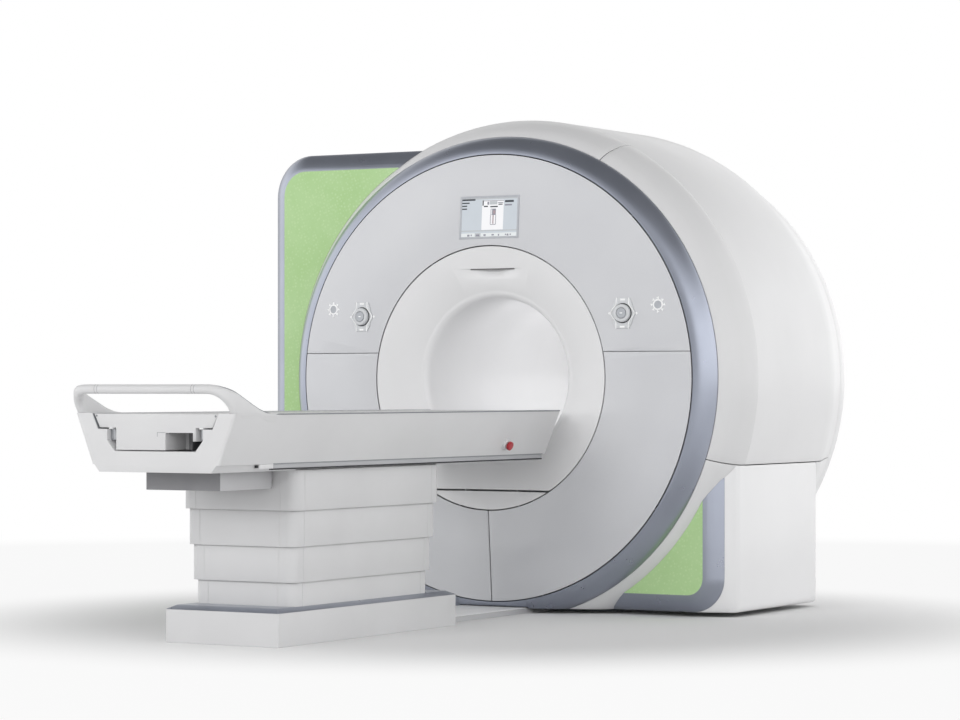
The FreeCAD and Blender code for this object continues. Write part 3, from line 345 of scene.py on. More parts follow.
def litField(name, code, strength):  # a field of the lit display: colour that glows a little behind glass
    material, tree = newTree(name)
    grain = noise(tree, objectPlace(tree), litGlass["grainMm"], 2.0)
    shade = [c * litGlass["shade"] for c in linearColour(code)[:3]] + [1]
    finishSurface(tree, {
        "Base Color": linearColour(litGlass["colour"]), "Roughness": litGlass["roughness"],
        "Emission Color": blend(tree, grain, linearColour(code), shade), "Emission Strength": strength})
    return material


coverPaint = paintedSurface("coverPaint", {  # white satin lacquer on moulded covers
    "colour": "#e6e6e7", "tint": "#e2e2e3", "cloudMm": 420, "skinMm": 2.5, "skinDepthMm": 0.05,
    "skinStrength": 0.25, "roughness": 0.34, "shineSpread": 0.03, "coat": 0.15})
discLacquer = paintedSurface("discLacquer", {  # light grey gloss lacquer, polished
    "colour": "#d0d1d4", "tint": "#cbccd0", "cloudMm": 500, "skinMm": 6, "skinDepthMm": 0.02,
    "skinStrength": 0.15, "roughness": 0.22, "shineSpread": 0.02, "coat": 0.6, "coatRoughness": 0.05})
# painted shade: the band's lacquer is greyer than the covers' to stand for the way the band faces
shadedBandPaint = paintedSurface("shadedBandPaint", {  # satin lacquer on the bevelled band
    "colour": "#dadadb", "tint": "#d6d6d7", "cloudMm": 420, "skinMm": 2.5, "skinDepthMm": 0.05,
    "skinStrength": 0.25, "roughness": 0.36, "shineSpread": 0.03, "coat": 0.1})
slateLacquer = paintedSurface("slateLacquer", {  # blue-grey metallic lacquer, satin
    "colour": "#a4a9b6", "tint": "#9da2af", "cloudMm": 260, "skinMm": 1.6, "skinDepthMm": 0.04,
    "skinStrength": 0.2, "roughness": 0.3, "shineSpread": 0.03, "metallic": 0.88, "coat": 0.2})
greenSheet = dottedPanel("greenSheet", {  # green print under matt film, its dots coarser than the real ones
    "colour": "#abcf90", "tint": "#b5d69d", "dot": "#c3deac", "cloudMm": 330, "cloudSpan": (0.35, 0.65),
    "dotMm": 15, "dotScatter": 0.55, "dotCore": 0.2, "dotEdge": 0.42, "dotDepthMm": 0.3,
    "dotStrength": 0.3, "rowTurn": 20, "speckleMm": 9, "roughness": 0.55, "ior": 1.49})
tablePaint = paintedSurface("tablePaint", {  # moulded table covers, pale grey
    "colour": "#d9d9da", "tint": "#d4d4d5", "cloudMm": 350, "skinMm": 1.8, "skinDepthMm": 0.05,
    "skinStrength": 0.3, "roughness": 0.4, "shineSpread": 0.03})
powderCoat = paintedSurface("powderCoat", {  # folded steel sheet with a fine powder coat
    "colour": "#d2d2d3", "tint": "#cdcdce", "cloudMm": 300, "skinMm": 1.2, "skinDepthMm": 0.08,
    "skinStrength": 0.35, "roughness": 0.46, "shineSpread": 0.04})
# painted shade: this darker coat stands for the shade on the frame's beam under the trough and on the duct's sides
paintedShadeCoat = paintedSurface("paintedShadeCoat", {  # powder coat, darker as painted shade
    "colour": "#bebec0", "tint": "#b8b8ba", "cloudMm": 300, "skinMm": 1.2, "skinDepthMm": 0.08,
    "skinStrength": 0.35, "roughness": 0.46, "shineSpread": 0.04})
controlPlastic = paintedSurface("controlPlastic", {  # pale ABS of the controls, fine spark-eroded skin
    "colour": "#d3d5d7", "tint": "#cdcfd2", "cloudMm": 60, "skinMm": 0.9, "skinDepthMm": 0.05,
    "skinStrength": 0.35, "roughness": 0.42, "shineSpread": 0.04})
# painted light: the same white brightens the top of the floor duct
whiteAndPaintedLight = paintedSurface("whiteAndPaintedLight", {  # bright white symbols, outlines and glides, and painted light
    "colour": "#fbfbfb", "tint": "#f4f5f6", "cloudMm": 40, "skinMm": 0.8, "skinDepthMm": 0.02,
    "skinStrength": 0.2, "roughness": 0.35, "shineSpread": 0.03})
keyPlastic = paintedSurface("keyPlastic", {  # mid grey push keys and display housing
    "colour": "#b7babf", "tint": "#afb2b8", "cloudMm": 50, "skinMm": 0.8, "skinDepthMm": 0.04,
    "skinStrength": 0.3, "roughness": 0.38, "shineSpread": 0.04})
# painted shade: this grey also darkens the beam's foot end and the back of the tabletop's notch
ringGreyAndShade = paintedSurface("ringGreyAndShade", {  # matt moulded grey of the handle's rings, and painted shade
    "colour": "#8e8e91", "tint": "#88888b", "cloudMm": 90, "skinMm": 1.0, "skinDepthMm": 0.05,
    "skinStrength": 0.3, "roughness": 0.5, "shineSpread": 0.04})
railGrey = paintedSurface("railGrey", {  # anodised grey accessory rail, matt
    "colour": "#b4b5b8", "tint": "#aeafb2", "cloudMm": 200, "skinMm": 1.0, "skinDepthMm": 0.04,
    "skinStrength": 0.3, "roughness": 0.45, "shineSpread": 0.04})
# painted shade: this grey also lines the channels under the tabletop's wings
seamGreyAndShade = paintedSurface("seamGreyAndShade", {  # grey of joints and fine lines between mouldings, and painted shade
    "colour": "#8d9094", "tint": "#85888c", "cloudMm": 80, "skinMm": 1.1, "skinDepthMm": 0.05,
    "skinStrength": 0.3, "roughness": 0.5, "shineSpread": 0.04})
# painted shade: this dark also stands for the shade round each dial's foot, in the tabletop's notch and in the rail
# end blocks' pits
darkRubberAndShade = paintedSurface("darkRubberAndShade", {  # dark rubber of the belt and wedges, and of the dark strips in the rail gaps
    "colour": "#2b2c2f", "tint": "#232427", "cloudMm": 80, "skinMm": 1.1, "skinDepthMm": 0.1,
    "skinStrength": 0.45, "roughness": 0.62, "shineSpread": 0.06})
redPlastic = paintedSurface("redPlastic", {  # red moulded head of the emergency buttons
    "colour": "#b3242f", "tint": "#a51e29", "cloudMm": 30, "skinMm": 0.8, "skinDepthMm": 0.03,
    "skinStrength": 0.25, "roughness": 0.3, "shineSpread": 0.03, "coat": 0.3})
darkGlass = paintedSurface("darkGlass", {  # dark glass of the display and the laser window
    "colour": "#2b2426", "tint": "#231d1f", "cloudMm": 60, "skinMm": 20, "skinDepthMm": 0.01,
    "skinStrength": 0.1, "roughness": 0.12, "shineSpread": 0.02, "ior": 1.52})
lensGrey = paintedSurface("lensGrey", {  # smoked glass of the laser's lens
    "colour": "#7b797b", "tint": "#737173", "cloudMm": 60, "skinMm": 20, "skinDepthMm": 0.01,
    "skinStrength": 0.1, "roughness": 0.3, "shineSpread": 0.02, "ior": 1.52})
castPaint = paintedSurface("castPaint", {  # grey machine paint on welded steel
    "colour": "#74787d", "tint": "#6c7075", "cloudMm": 140, "skinMm": 2.2, "skinDepthMm": 0.15,
    "skinStrength": 0.45, "roughness": 0.55, "shineSpread": 0.06})
resinCast = paintedSurface("resinCast", {  # cast epoxy resin of the coils
    "colour": "#b9a46a", "tint": "#a8935b", "cloudMm": 90, "skinMm": 3, "skinDepthMm": 0.1,
    "skinStrength": 0.4, "roughness": 0.45, "shineSpread": 0.06})
extrudedMetal = drawnMetal("extrudedMetal", {  # extruded aluminium, drawn along Y
    "colour": "#c4c6c9", "tint": "#b8bbbf", "cloudMm": 60, "lineMm": 2.0, "lineDepthMm": 0.08,
    "lineStrength": 0.25, "stretch": (1.0, 0.02, 1.0), "roughness": 0.34})
turnedSteel = drawnMetal("turnedSteel", {  # turned steel, drawn along Z
    "colour": "#a9abae", "tint": "#9a9da1", "cloudMm": 60, "lineMm": 1.5, "lineDepthMm": 0.08,
    "lineStrength": 0.25, "stretch": (1.0, 1.0, 0.05), "roughness": 0.3})

# What the CAD nodes wear that stay in sight or inside
slotLooks = {
    "cover_white": coverPaint, "disc_grey": discLacquer, "band_pale": shadedBandPaint, "trim_slate": slateLacquer,
    "panel_green": greenSheet, "control_grey": controlPlastic, "dial_white": controlPlastic,
    "key_grey": keyPlastic, "screen_glass": darkGlass, "laser_glass": darkGlass, "bore_white": coverPaint,
    "bridge_white": tablePaint, "vessel_metal": powderCoat, "cold_head_steel": turnedSteel,
    "coil_resin": resinCast, "coil_plastic": tablePaint, "wedge_rubber": darkRubberAndShade,
    "bracket_metal": extrudedMetal, "base_steel": castPaint, "duct_metal": extrudedMetal,
    "table_white": tablePaint, "pedestal_white": powderCoat, "rail_metal": extrudedMetal,
    "column_metal": extrudedMetal, "motor_metal": castPaint, "glide_plastic": whiteAndPaintedLight,
    "belt_rubber": darkRubberAndShade, "pulley_metal": turnedSteel, "stop_red": redPlastic,
}
for part in frame["record"]["subparts"]:
    mesh = frame["nodes"][part["node"]].data
    mesh.materials.clear()
    mesh.materials.append(slotLooks[part["material_slot"]])
print("materials made:", len(bpy.data.materials))

# Front disc: an upper panel and two lower ones, with narrow joints between them
disc = {"hub": 0.578, "width": 0.401, "rise": 0.030, "front": -0.7255, "wall": 0.005, "gap": 0.0029,
        "seamHeight": 1.137, "seamGap": 0.0013, "splitGap": 0.0022}
discLine = [(disc["hub"] + disc["gap"], disc["front"]),
            (disc["hub"] + disc["width"] - disc["gap"], disc["front"] + disc["rise"])]
upperDisc = ringSheet(discLine, 0, 180)
cutAway(upperDisc, (0, 0, disc["seamHeight"] + disc["seamGap"]), (0, 0, -1))
giveWall(upperDisc, disc["wall"])
finishPiece(upperDisc, "discUpper", discLacquer, "gantry", "front_disc_upper")
for name, side, startDeg in (("discLowerRight", 1, -90), ("discLowerLeft", -1, 135)):
    lowerDisc = ringSheet(discLine, startDeg, startDeg + 135)
    cutAway(lowerDisc, (0, 0, disc["seamHeight"] - disc["seamGap"]), (0, 0, 1))
    cutAway(lowerDisc, (side * disc["splitGap"], 0, 0), (-side, 0, 0))
    giveWall(lowerDisc, disc["wall"])
    finishPiece(lowerDisc, name, discLacquer, "gantry", "front_disc_lower")


def discFrame(x, z):  # the place and turn of the disc's surface; its local -Y points outwards
    radius = math.hypot(x, z - axisHeight)
    lean = math.atan2(disc["rise"], disc["width"])
    normal = Vector((math.sin(lean) * x / radius, -math.cos(lean), math.sin(lean) * (z - axisHeight) / radius))
    y = disc["front"] + (radius - disc["hub"]) * math.tan(lean)
    turn = Vector((0, -1, 0)).rotation_difference(normal).to_matrix().to_4x4()
    return Matrix.Translation((x, y, z)) @ turn


# Round cover that rolls over a lip into the bore, in two pieces with a slot between them
funnel = {"bore": 0.350, "lip": 0.0294, "lipSteps": 10, "cornerY": -0.6541, "linerY": -0.6247, "lean": 17.4,
          "slotTop": 0.537, "slotBottom": 0.529, "wall": 0.005, "fold": 0.3865, "foldRun": 0.0015,
          "foldStep": 0.0014}
funnelLean = math.tan(math.radians(funnel["lean"]))
funnelEdge = (disc["hub"] - disc["gap"], disc["front"] + disc["gap"] * funnelLean)


def funnelPlace(radius):  # how far forward the round cover's face lies at a radius
    return funnelEdge[1] + (funnelEdge[0] - radius) * funnelLean


funnelLine = [(funnel["bore"], funnel["linerY"]), (funnel["bore"], funnel["cornerY"]),
              (funnel["fold"], funnelPlace(funnel["fold"]) + funnel["foldStep"]),
              (funnel["fold"] + funnel["foldRun"], funnelPlace(funnel["fold"])), funnelEdge]

# Hollow over the bore with the laser's lens under its straight upper edge
pocket = {"half": 0.170, "top": 1.5045, "reach": 0.050, "cutY": (-0.9, -0.5), "depth": 0.0270, "rows": 28,
          "columns": 72, "overlap": 0.0006, "behind": 0.00006, "rise": 0.004, "wall": 0.002}
laserLens = {"half": 0.150, "foot": 1.4992, "behind": 0.0054, "wall": 0.012, "soft": 0.0012}


def pocketRoom():  # the window in the round cover that the hollow fills
    bm = bmesh.new()
    boxShape(bm, (-pocket["half"], pocket["half"]), pocket["cutY"], (pocket["top"] - pocket["reach"], pocket["top"]))
    return bm


def hollowDepth(x, z):  # deepest under the straight upper edge's middle, fading to the ends and the foot
    across = max(0.0, 1 - (x / pocket["half"]) ** 2) ** 2
    down = min(1.0, max(0.0, (pocket["top"] - z) / pocket["reach"]))
    return pocket["depth"] * across * (1 - down) ** 2 * (1 + 2 * down)


for name, node, height, away in (("roundCover", "round_cover", funnel["slotTop"], -1),
                                 ("lowerRoundCover", "lower_round_cover", funnel["slotBottom"], 1)):
    shell = ringSheet(funnelLine, fillets={1: (funnel["lip"], funnel["lipSteps"])})
    cutAway(shell, (0, 0, height), (0, 0, away))
    giveWall(shell, funnel["wall"])
    if away < 0:
        shell = subtract(shell, pocketRoom())
    finishPiece(shell, name, coverPaint, "gantry", node)
hollow = bmesh.new()
bmesh.ops.create_grid(hollow, x_segments=pocket["columns"], y_segments=pocket["rows"], size=0.5)
low, high = pocket["top"] - pocket["reach"] - pocket["overlap"], pocket["top"] + pocket["rise"]
bmesh.ops.scale(hollow, vec=(2 * (pocket["half"] + pocket["overlap"]), high - low, 1), verts=hollow.verts[:])
bmesh.ops.rotate(hollow, verts=hollow.verts[:], cent=(0, 0, 0), matrix=Matrix.Rotation(math.radians(90), 3, "X"))
bmesh.ops.translate(hollow, vec=(0, 0, (low + high) / 2), verts=hollow.verts[:])
for vert in hollow.verts:
    x, z = vert.co.x, vert.co.z
    vert.co.y = funnelPlace(math.hypot(x, z - axisHeight)) + pocket["behind"] + hollowDepth(x, z)
hollow.normal_update()
if sum(f.normal.y for f in hollow.faces) > 0:
    bmesh.ops.reverse_faces(hollow, faces=hollow.faces[:])
bmesh.ops.solidify(hollow, geom=hollow.faces[:], thickness=pocket["wall"])
finishPiece(hollow, "laserHollow", coverPaint, "gantry")
lens = bmesh.new()
lensY = funnelPlace(pocket["top"] - axisHeight) + laserLens["behind"]
boxShape(lens, (-laserLens["half"], laserLens["half"]), (lensY, lensY + laserLens["wall"]),
         (laserLens["foot"], pocket["top"] + pocket["rise"]))
softenEdges(lens, laserLens["soft"], 3, 60)
finishPiece(lens, "laserLens", lensGrey, "gantry", "laser_window")

liner = {"end": 0.6247, "wall": 0.004, "soft": 0.0005}
ringCover("boreLiner", "bore_liner", coverPaint,
          [(funnel["bore"], liner["end"]), (funnel["bore"], -liner["end"])], wall=liner["wall"],
          soften=liner["soft"])

# Blue-grey ring: it bulges a little, and a plain sill closes it over the table's foot
ringTrim = {"inner": (0.981, -0.6935), "corner": (1.0415, -0.6755), "outer": (1.0612, -0.6142), "nib": 9.77,
            "rounding": 0.052, "roundSteps": 12, "wall": 0.004, "foot": 0.020, "sill": 0.028, "sillLap": 0.1,
            "sillSoft": 0.0008}
ringCover("ringTrim", "ring_trim", slateLacquer,
          [ringTrim["inner"], ringTrim["corner"], ringTrim["outer"]], -90 + ringTrim["nib"],
          270 - ringTrim["nib"], {1: (ringTrim["rounding"], ringTrim["roundSteps"])}, ringTrim["foot"],
          ringTrim["wall"])
ringCover("ringSill", None, slateLacquer, [ringTrim["inner"], ringTrim["corner"]],
          270 - ringTrim["sillLap"] - ringTrim["nib"], 270 + ringTrim["sillLap"] + ringTrim["nib"],
          foot=ringTrim["sill"], wall=ringTrim["wall"], soften=ringTrim["sillSoft"])

# The band turns softly into the barrel, the barrel into the rear cover, and that one into the bore
outer = {"ring": (1.0625, -0.6130), "knee": (1.101, -0.5715), "barrel": (1.147, -0.4645), "join": -0.400,
         "joinGap": 0.0003, "barrelRear": (1.147, 0.3845), "shoulder": (1.120, 0.4845),
         "rearJoin": (1.1005, 0.5627), "rearLap": (0.0001, 0.0004), "rearEdge": (1.060, 0.7255),
         "flare": (0.405, 0.7255), "boreRear": (0.350, 0.6705), "linerRear": (0.350, 0.6252),
         "seam": 0.10, "sideSeam": 19.08, "bandSeam": 62.4, "tower": 116.7, "foot": 0.020,
         "skirtStart": ((1.1448, 0.3440), (1.147, 0.3850)),
         "bandRounds": {1: (0.022, 5), 2: (0.055, 8)}, "barrelRounds": {1: (0.045, 6), 2: (0.048, 6)},
         "skirtRounds": {2: (0.048, 6)}, "rearRounds": {1: (0.060, 8)}, "flareRounds": {1: (0.020, 5), 2: (0.016, 5)}}
bandLine = [outer["ring"], outer["knee"], outer["barrel"], (outer["barrel"][0], outer["join"] - outer["joinGap"])]
bandParts = (
    ("bandRight", "band_upper", -outer["sideSeam"] + outer["seam"], outer["bandSeam"] - outer["seam"]),
    ("bandTop", "band_upper", outer["bandSeam"] + outer["seam"], 180 + outer["sideSeam"] - outer["seam"]),
    ("bandLowRight", "band_lower", -90 + ringTrim["nib"], -outer["sideSeam"] - outer["seam"]),
    ("bandLowLeft", "band_lower", 180 + outer["sideSeam"] + outer["seam"], 270 - ringTrim["nib"]),
)
for name, node, startDeg, endDeg in bandParts:
    ringCover(name, node, shadedBandPaint, bandLine, startDeg, endDeg, outer["bandRounds"], outer["foot"])
ringCover("barrelCover", "barrel_cover", coverPaint,
          [(outer["barrel"][0], outer["join"]), outer["barrelRear"], outer["shoulder"], outer["rearJoin"]],
          -outer["sideSeam"] + outer["seam"], outer["tower"] - outer["seam"], outer["barrelRounds"])
ringCover("rearSkirt", "rear_cover", coverPaint,
          [*outer["skirtStart"], outer["shoulder"], outer["rearJoin"]], outer["tower"] + outer["seam"],
          360 - outer["sideSeam"] - outer["seam"], outer["skirtRounds"], outer["foot"])
rearStart = (outer["rearJoin"][0] - outer["rearLap"][0], outer["rearJoin"][1] + outer["rearLap"][1])
ringCover("rearCover", "rear_cover", coverPaint,
          [rearStart, outer["rearEdge"], (disc["hub"] + disc["gap"], outer["rearEdge"][1])],
          fillets=outer["rearRounds"], foot=outer["foot"])
ringCover("rearRoundCover", "rear_round_cover", coverPaint,
          [(disc["hub"] - disc["gap"], outer["flare"][1]), outer["flare"], outer["boreRear"], outer["linerRear"]],
          fillets=outer["flareRounds"])

# The brackets stay behind the rounded edges of the covers that hang on them
bracketRoom = {
    "front": [(0.9805, -0.6940), (1.0590, -0.6171), (1.20, -0.6171), (1.20, -0.80), (0.9805, -0.80)],
    "rear": [(1.066, 0.6640), (0.995, 0.7195), (0.995, 0.80), (1.20, 0.80), (1.20, 0.6640)]}
brackets = fromFrame("cover_brackets", width=0.0)
for line in bracketRoom.values():
    brackets = subtract(brackets, ringSheet(line, loop=True))
finishPiece(brackets, "coverBrackets", extrudedMetal, "gantry", "cover_brackets")
print("round covers done")

# Side covers: the tall one on the left and the low one on the right, each with a stepped trim and a green panel
sides = {"foot": 0.020, "footCorner": 0.150, "trimY": -0.5145, "rearY": 0.3855, "hidden": 0.45, "gap": 0.001,
         "steps": ((0.012, 0.015), (0.021, 0.018), (0.022, 0.015), (0.021, 0.009)), "wall": 0.005,
         "cutFront": (1.0747, -0.600), "cutRear": 0.42, "cutHole": 0.40, "sheet": 0.003, "trimSoft": 0.0008,
         "panelSoft": 0.0006, "panelInset": 0.0015, "panelSink": 0.0035}
towerSide = {"x": -1.255, "top": 2.050, "topCorner": 0.190, "frontGap": 0.0006, "rearRound": 0.008}
lowSide = {"x": 1.043, "top": 1.025, "topCorner": 0.0}


def roundCutter():  # the room that the round covers take, with a small gap round them
    gap = sides["gap"]
    line = [(sides["cutHole"], sides["cutFront"][1]), (sides["cutFront"][0] + gap, sides["cutFront"][1]),
            (outer["knee"][0] + gap, outer["knee"][1]), (outer["barrel"][0] + gap, outer["barrel"][1]),
            (outer["barrel"][0] + gap, sides["cutRear"]), (sides["cutHole"], sides["cutRear"])]
    knee, barrel = outer["bandRounds"].values()
    return ringSheet(line, fillets={2: knee, 3: barrel}, loop=True)


def sideOutline(bm, cover, y):  # the front outline of a side cover as one face with round outer corners
    inner = math.copysign(sides["hidden"], cover["x"])
    corners = ((inner, sides["foot"]), (cover["x"], sides["foot"]), (cover["x"], cover["top"]), (inner, cover["top"]))
    verts = [bm.verts.new((x, y, z)) for x, z in corners]
    bm.faces.new(verts)
    roundOff(bm, [verts[1]], sides["footCorner"], 12, "VERTICES")
    if cover["topCorner"]:
        roundOff(bm, [verts[2]], cover["topCorner"], 14, "VERTICES")
    bm.normal_update()
    if bm.faces[:][0].normal.y > 0:
        bmesh.ops.reverse_faces(bm, faces=bm.faces[:])
    return bm.faces[:][0]


def insetFace(bm, face, inwards, forwards):
    bmesh.ops.inset_region(bm, faces=[face], thickness=inwards, depth=forwards, use_even_offset=True,
                           use_boundary=True)


def trimAndPanel(label, cover):
    trim = bmesh.new()
    face = sideOutline(trim, cover, sides["trimY"])
    for inwards, forwards in sides["steps"]:
        insetFace(trim, face, inwards, forwards)
    panel = bmesh.new()
    panelFace = panel.faces.new([panel.verts.new(v.co) for v in face.verts])
    bmesh.ops.delete(trim, geom=[face], context="FACES_ONLY")
    giveWall(trim, sides["sheet"], sides["trimSoft"])
    finishPiece(subtract(trim, roundCutter()), label + "Trim", slateLacquer, "gantry", "panel_trims",
                sharpAngle=40)
    insetFace(panel, panelFace, sides["panelInset"], -sides["panelSink"])
    giveWall(panel, sides["sheet"], sides["panelSoft"])
    finishPiece(subtract(panel, roundCutter()), label + "Green", greenSheet, "gantry", "green_panels")


trimAndPanel("tower", towerSide)
trimAndPanel("base", lowSide)

tower = bmesh.new()
towerFace = sideOutline(tower, towerSide, sides["trimY"] + towerSide["frontGap"])
made = bmesh.ops.extrude_face_region(tower, geom=[towerFace])
bmesh.ops.translate(tower, vec=(0, sides["rearY"] - sides["trimY"], 0), verts=movedPart(made))
faceOut(tower)
rearRim = [e for e in tower.edges if min(v.co.y for v in e.verts) > sides["rearY"] - 0.01]
roundOff(tower, rearRim, towerSide["rearRound"], 3)
tower.normal_update()
bmesh.ops.delete(tower, geom=[f for f in tower.faces if f.normal.y < -0.9], context="FACES_ONLY")
giveWall(tower, sides["wall"])
finishPiece(subtract(tower, roundCutter()), "towerCover", coverPaint, "gantry", "tower_cover")

# The low cover's wall, extruded upwards from its outline on the floor
baseWall = {"line": ((0.55, 0.3855), (1.040, 0.3855), (1.085, 0.3405), (1.085, -0.4595), (1.0435, -0.5142)),
            "top": 0.648, "rounds": {1: 0.020, 2: 0.022, 3: 0.020}, "roundSteps": 5, "noseStart": -0.4595,
            "frontFoot": 0.150, "sideFoot": 0.020, "footSteps": 12, "bendFrom": 1.0, "soft": 0.0015}
base = bmesh.new()
verts = [base.verts.new((x, y, sides["foot"])) for x, y in baseWall["line"]]
for pair in zip(verts, verts[1:]):
    base.edges.new(pair)
for index, run in baseWall["rounds"].items():
    roundOff(base, [verts[index]], run, baseWall["roundSteps"], "VERTICES")
row = base.edges[:]
levels = [baseWall["frontFoot"] * (1 - math.cos(math.pi / 2 * step / baseWall["footSteps"]))
          for step in range(1, baseWall["footSteps"] + 1)] + [baseWall["top"] - sides["foot"]]
for below, level in zip([0.0] + levels, levels):
    made = bmesh.ops.extrude_edge_only(base, edges=row)
    row = [e for e in made["geom"] if isinstance(e, bmesh.types.BMEdge)
           and all(v in made["geom"] for v in e.verts)]
    bmesh.ops.translate(base, vec=(0, 0, level - below), verts=movedPart(made))
for vert in base.verts:  # the foot is round at the trim and nearly square along the side
    share = min(1.0, max(0.0, (baseWall["noseStart"] - vert.co.y) / (baseWall["noseStart"] - sides["trimY"])))
    radius = baseWall["sideFoot"] + (baseWall["frontFoot"] - baseWall["sideFoot"]) * share
    rest = min(radius, radius - (vert.co.z - sides["foot"]))
    if rest > 0 and vert.co.x > baseWall["bendFrom"]:
        vert.co.x -= radius - math.sqrt(radius ** 2 - rest ** 2)
faceOut(base)
base.normal_update()
if sum(f.normal.x * f.calc_area() for f in base.faces) < 0:
    bmesh.ops.reverse_faces(base, faces=base.faces[:])
giveWall(base, sides["wall"], baseWall["soft"])
finishPiece(subtract(base, roundCutter()), "baseCover", coverPaint, "gantry", "base_cover")
print("side covers done")

# Display: a generic picture of plain fields in a grey housing
display = {"z": 1.728, "width": 0.298, "height": 0.188, "frame": 0.0018, "soft": 0.0008, "front": 0.0002,
           "back": 0.0008, "level": 0.00015}
screenLooks = [litField(*look) for look in (
    ("fieldBlue", "#d0d7de", 0.92), ("fieldWhite", "#fafafc", 0.95), ("fieldGrey", "#c3c7ca", 0.92),
    ("fieldBar", "#e9edee", 0.95), ("inkDark", "#3a3f49", 0.6), ("inkPale", "#9b9aa6", 0.8),
    ("inkRose", "#b9a3a8", 0.8))]
blue, white, grey, bar, dark, pale, rose = range(7)
screenFields = (  # look, level, and the field's sides and heights in shares of the picture
    (blue, 0, 0.0, 1.0, 0.0, 1.0),
    (grey, 1, 0.0, 1.0, 0.93, 1.0), (dark, 2, 0.0, 1.0, 0.985, 1.0),
    (white, 1, 0.37, 0.74, 0.20, 0.91), (grey, 1, 0.0, 1.0, 0.165, 0.195), (bar, 1, 0.0, 1.0, 0.03, 0.125),
    (grey, 2, 0.26, 0.36, 0.03, 0.125),
    (dark, 2, 0.005, 0.25, 0.905, 0.945), (dark, 2, 0.02, 0.15, 0.835, 0.865), (dark, 2, 0.02, 0.11, 0.765, 0.795),
    (dark, 2, 0.02, 0.11, 0.695, 0.725), (dark, 2, 0.76, 0.91, 0.845, 0.895), (pale, 2, 0.76, 0.88, 0.765, 0.80),
    (dark, 2, 0.375, 0.395, 0.78, 0.905), (pale, 2, 0.395, 0.74, 0.885, 0.90), (dark, 2, 0.40, 0.47, 0.745, 0.775),
    (pale, 2, 0.46, 0.49, 0.80, 0.87), (grey, 2, 0.50, 0.63, 0.80, 0.88), (dark, 2, 0.51, 0.64, 0.735, 0.765),
    (dark, 2, 0.65, 0.72, 0.79, 0.815), (pale, 2, 0.64, 0.73, 0.83, 0.85),
    (pale, 2, 0.52, 0.61, 0.55, 0.70), (white, 3, 0.53, 0.545, 0.56, 0.69), (rose, 3, 0.565, 0.60, 0.58, 0.66),
    (pale, 2, 0.515, 0.525, 0.33, 0.55), (pale, 2, 0.605, 0.615, 0.33, 0.55), (rose, 2, 0.555, 0.575, 0.34, 0.55),
    (pale, 2, 0.52, 0.61, 0.315, 0.33))
barKeys = {"foot": 0.05, "stagger": 0.01, "top": 0.095, "spots": (  # where each key starts and how wide it is
    (0.13, 0.04), (0.19, 0.02), (0.28, 0.06), (0.41, 0.04), (0.43, 0.015), (0.55, 0.04), (0.66, 0.02),
    (0.78, 0.02), (0.81, 0.03), (0.86, 0.02))}
finishPiece(fromFrame("display_housing", width=display["soft"]), "displayHousing", keyPlastic, "gantry",
            "display_housing")
picture = bmesh.new()
width = display["width"] - 2 * display["frame"]
height = display["height"] - 2 * display["frame"]


def screenField(look, level, x0, x1, z0, z1):  # a thin plate of the picture, a little higher at each level
    made = boxShape(picture, ((x0 - 0.5) * width, (x1 - 0.5) * width),
                    (-display["front"] - level * display["level"], display["back"]),
                    ((z0 - 0.5) * height, (z1 - 0.5) * height))
    wearLook(made, look)


for field in screenFields:
    screenField(*field)
for index, (start, wide) in enumerate(barKeys["spots"]):
    screenField(pale, 3, start, start + wide, barKeys["foot"] + barKeys["stagger"] * (index % 2), barKeys["top"])
bmesh.ops.transform(picture, matrix=discFrame(0, display["z"]), verts=picture.verts[:])
finishPiece(picture, "displayPicture", screenLooks, "gantry", "display_screen")

# Dials with a push button, their bright marks, and light keys with a sun sign, on both sides of the disc.
# Each line gives (radius, out) points from the foot to the top.
controls = {"x": 0.660, "z": 1.300, "lightX": 0.162, "lightZ": 0.035, "unitSoft": 0.0008}
dial = {"line": ((0.0, 0.0008), (0.038, 0.0008), (0.038, 0.018), (0.0365, 0.0205), (0.034, 0.022), (0.026, 0.022),
                 (0.0232, 0.019), (0.0226, 0.0135), (0.0, 0.0135)),
        "ribs": 24, "ribAt": 0.038, "ribX": (-0.0012, 0.0012), "ribY": (-0.0175, -0.002), "ribZ": (-0.0008, 0.0008)}
pushButton = {"line": ((0.0, 0.0172), (0.022, 0.0172), (0.022, 0.0185), (0.0205, 0.021), (0.018, 0.0217),
                       (0.012, 0.0208), (0.0, 0.0202)),
              "markX": (-0.006, 0.006), "markY": (-0.0218, -0.0192), "markZ": (-0.0022, 0.0022)}
# painted shade: a dark ring round each dial's foot stands for the shadow in the gap between dial and bezel
dialShadeRing = {"line": ((0.0386, 0.0030), (0.0386, 0.0056), (0.0428, 0.0056), (0.0428, 0.0030), (0.0386, 0.0030))}
lightKey = {"line": ((0.0, -0.001), (0.0235, -0.001), (0.0235, 0.0012), (0.0228, 0.0022), (0.0178, 0.0027),
                     (0.0170, 0.0022), (0.0, 0.0014)), "rim": 0.0172}
marking = {"half": 0.0660, "waist": 0.0545, "end": 0.0290, "neck": 0.043, "out": 0.0052, "line": 0.0026, "steps": 24,
           "barZ": 0.0580, "barHalf": (0.011, 0.004), "barY": (-0.0060, -0.0050), "spotX": 0.0635,
           "spotHalf": 0.0045, "spotOut": 0.0012, "rays": 8, "rayReach": 0.0290, "raySize": 0.0072,
           "rayWall": 0.0016}


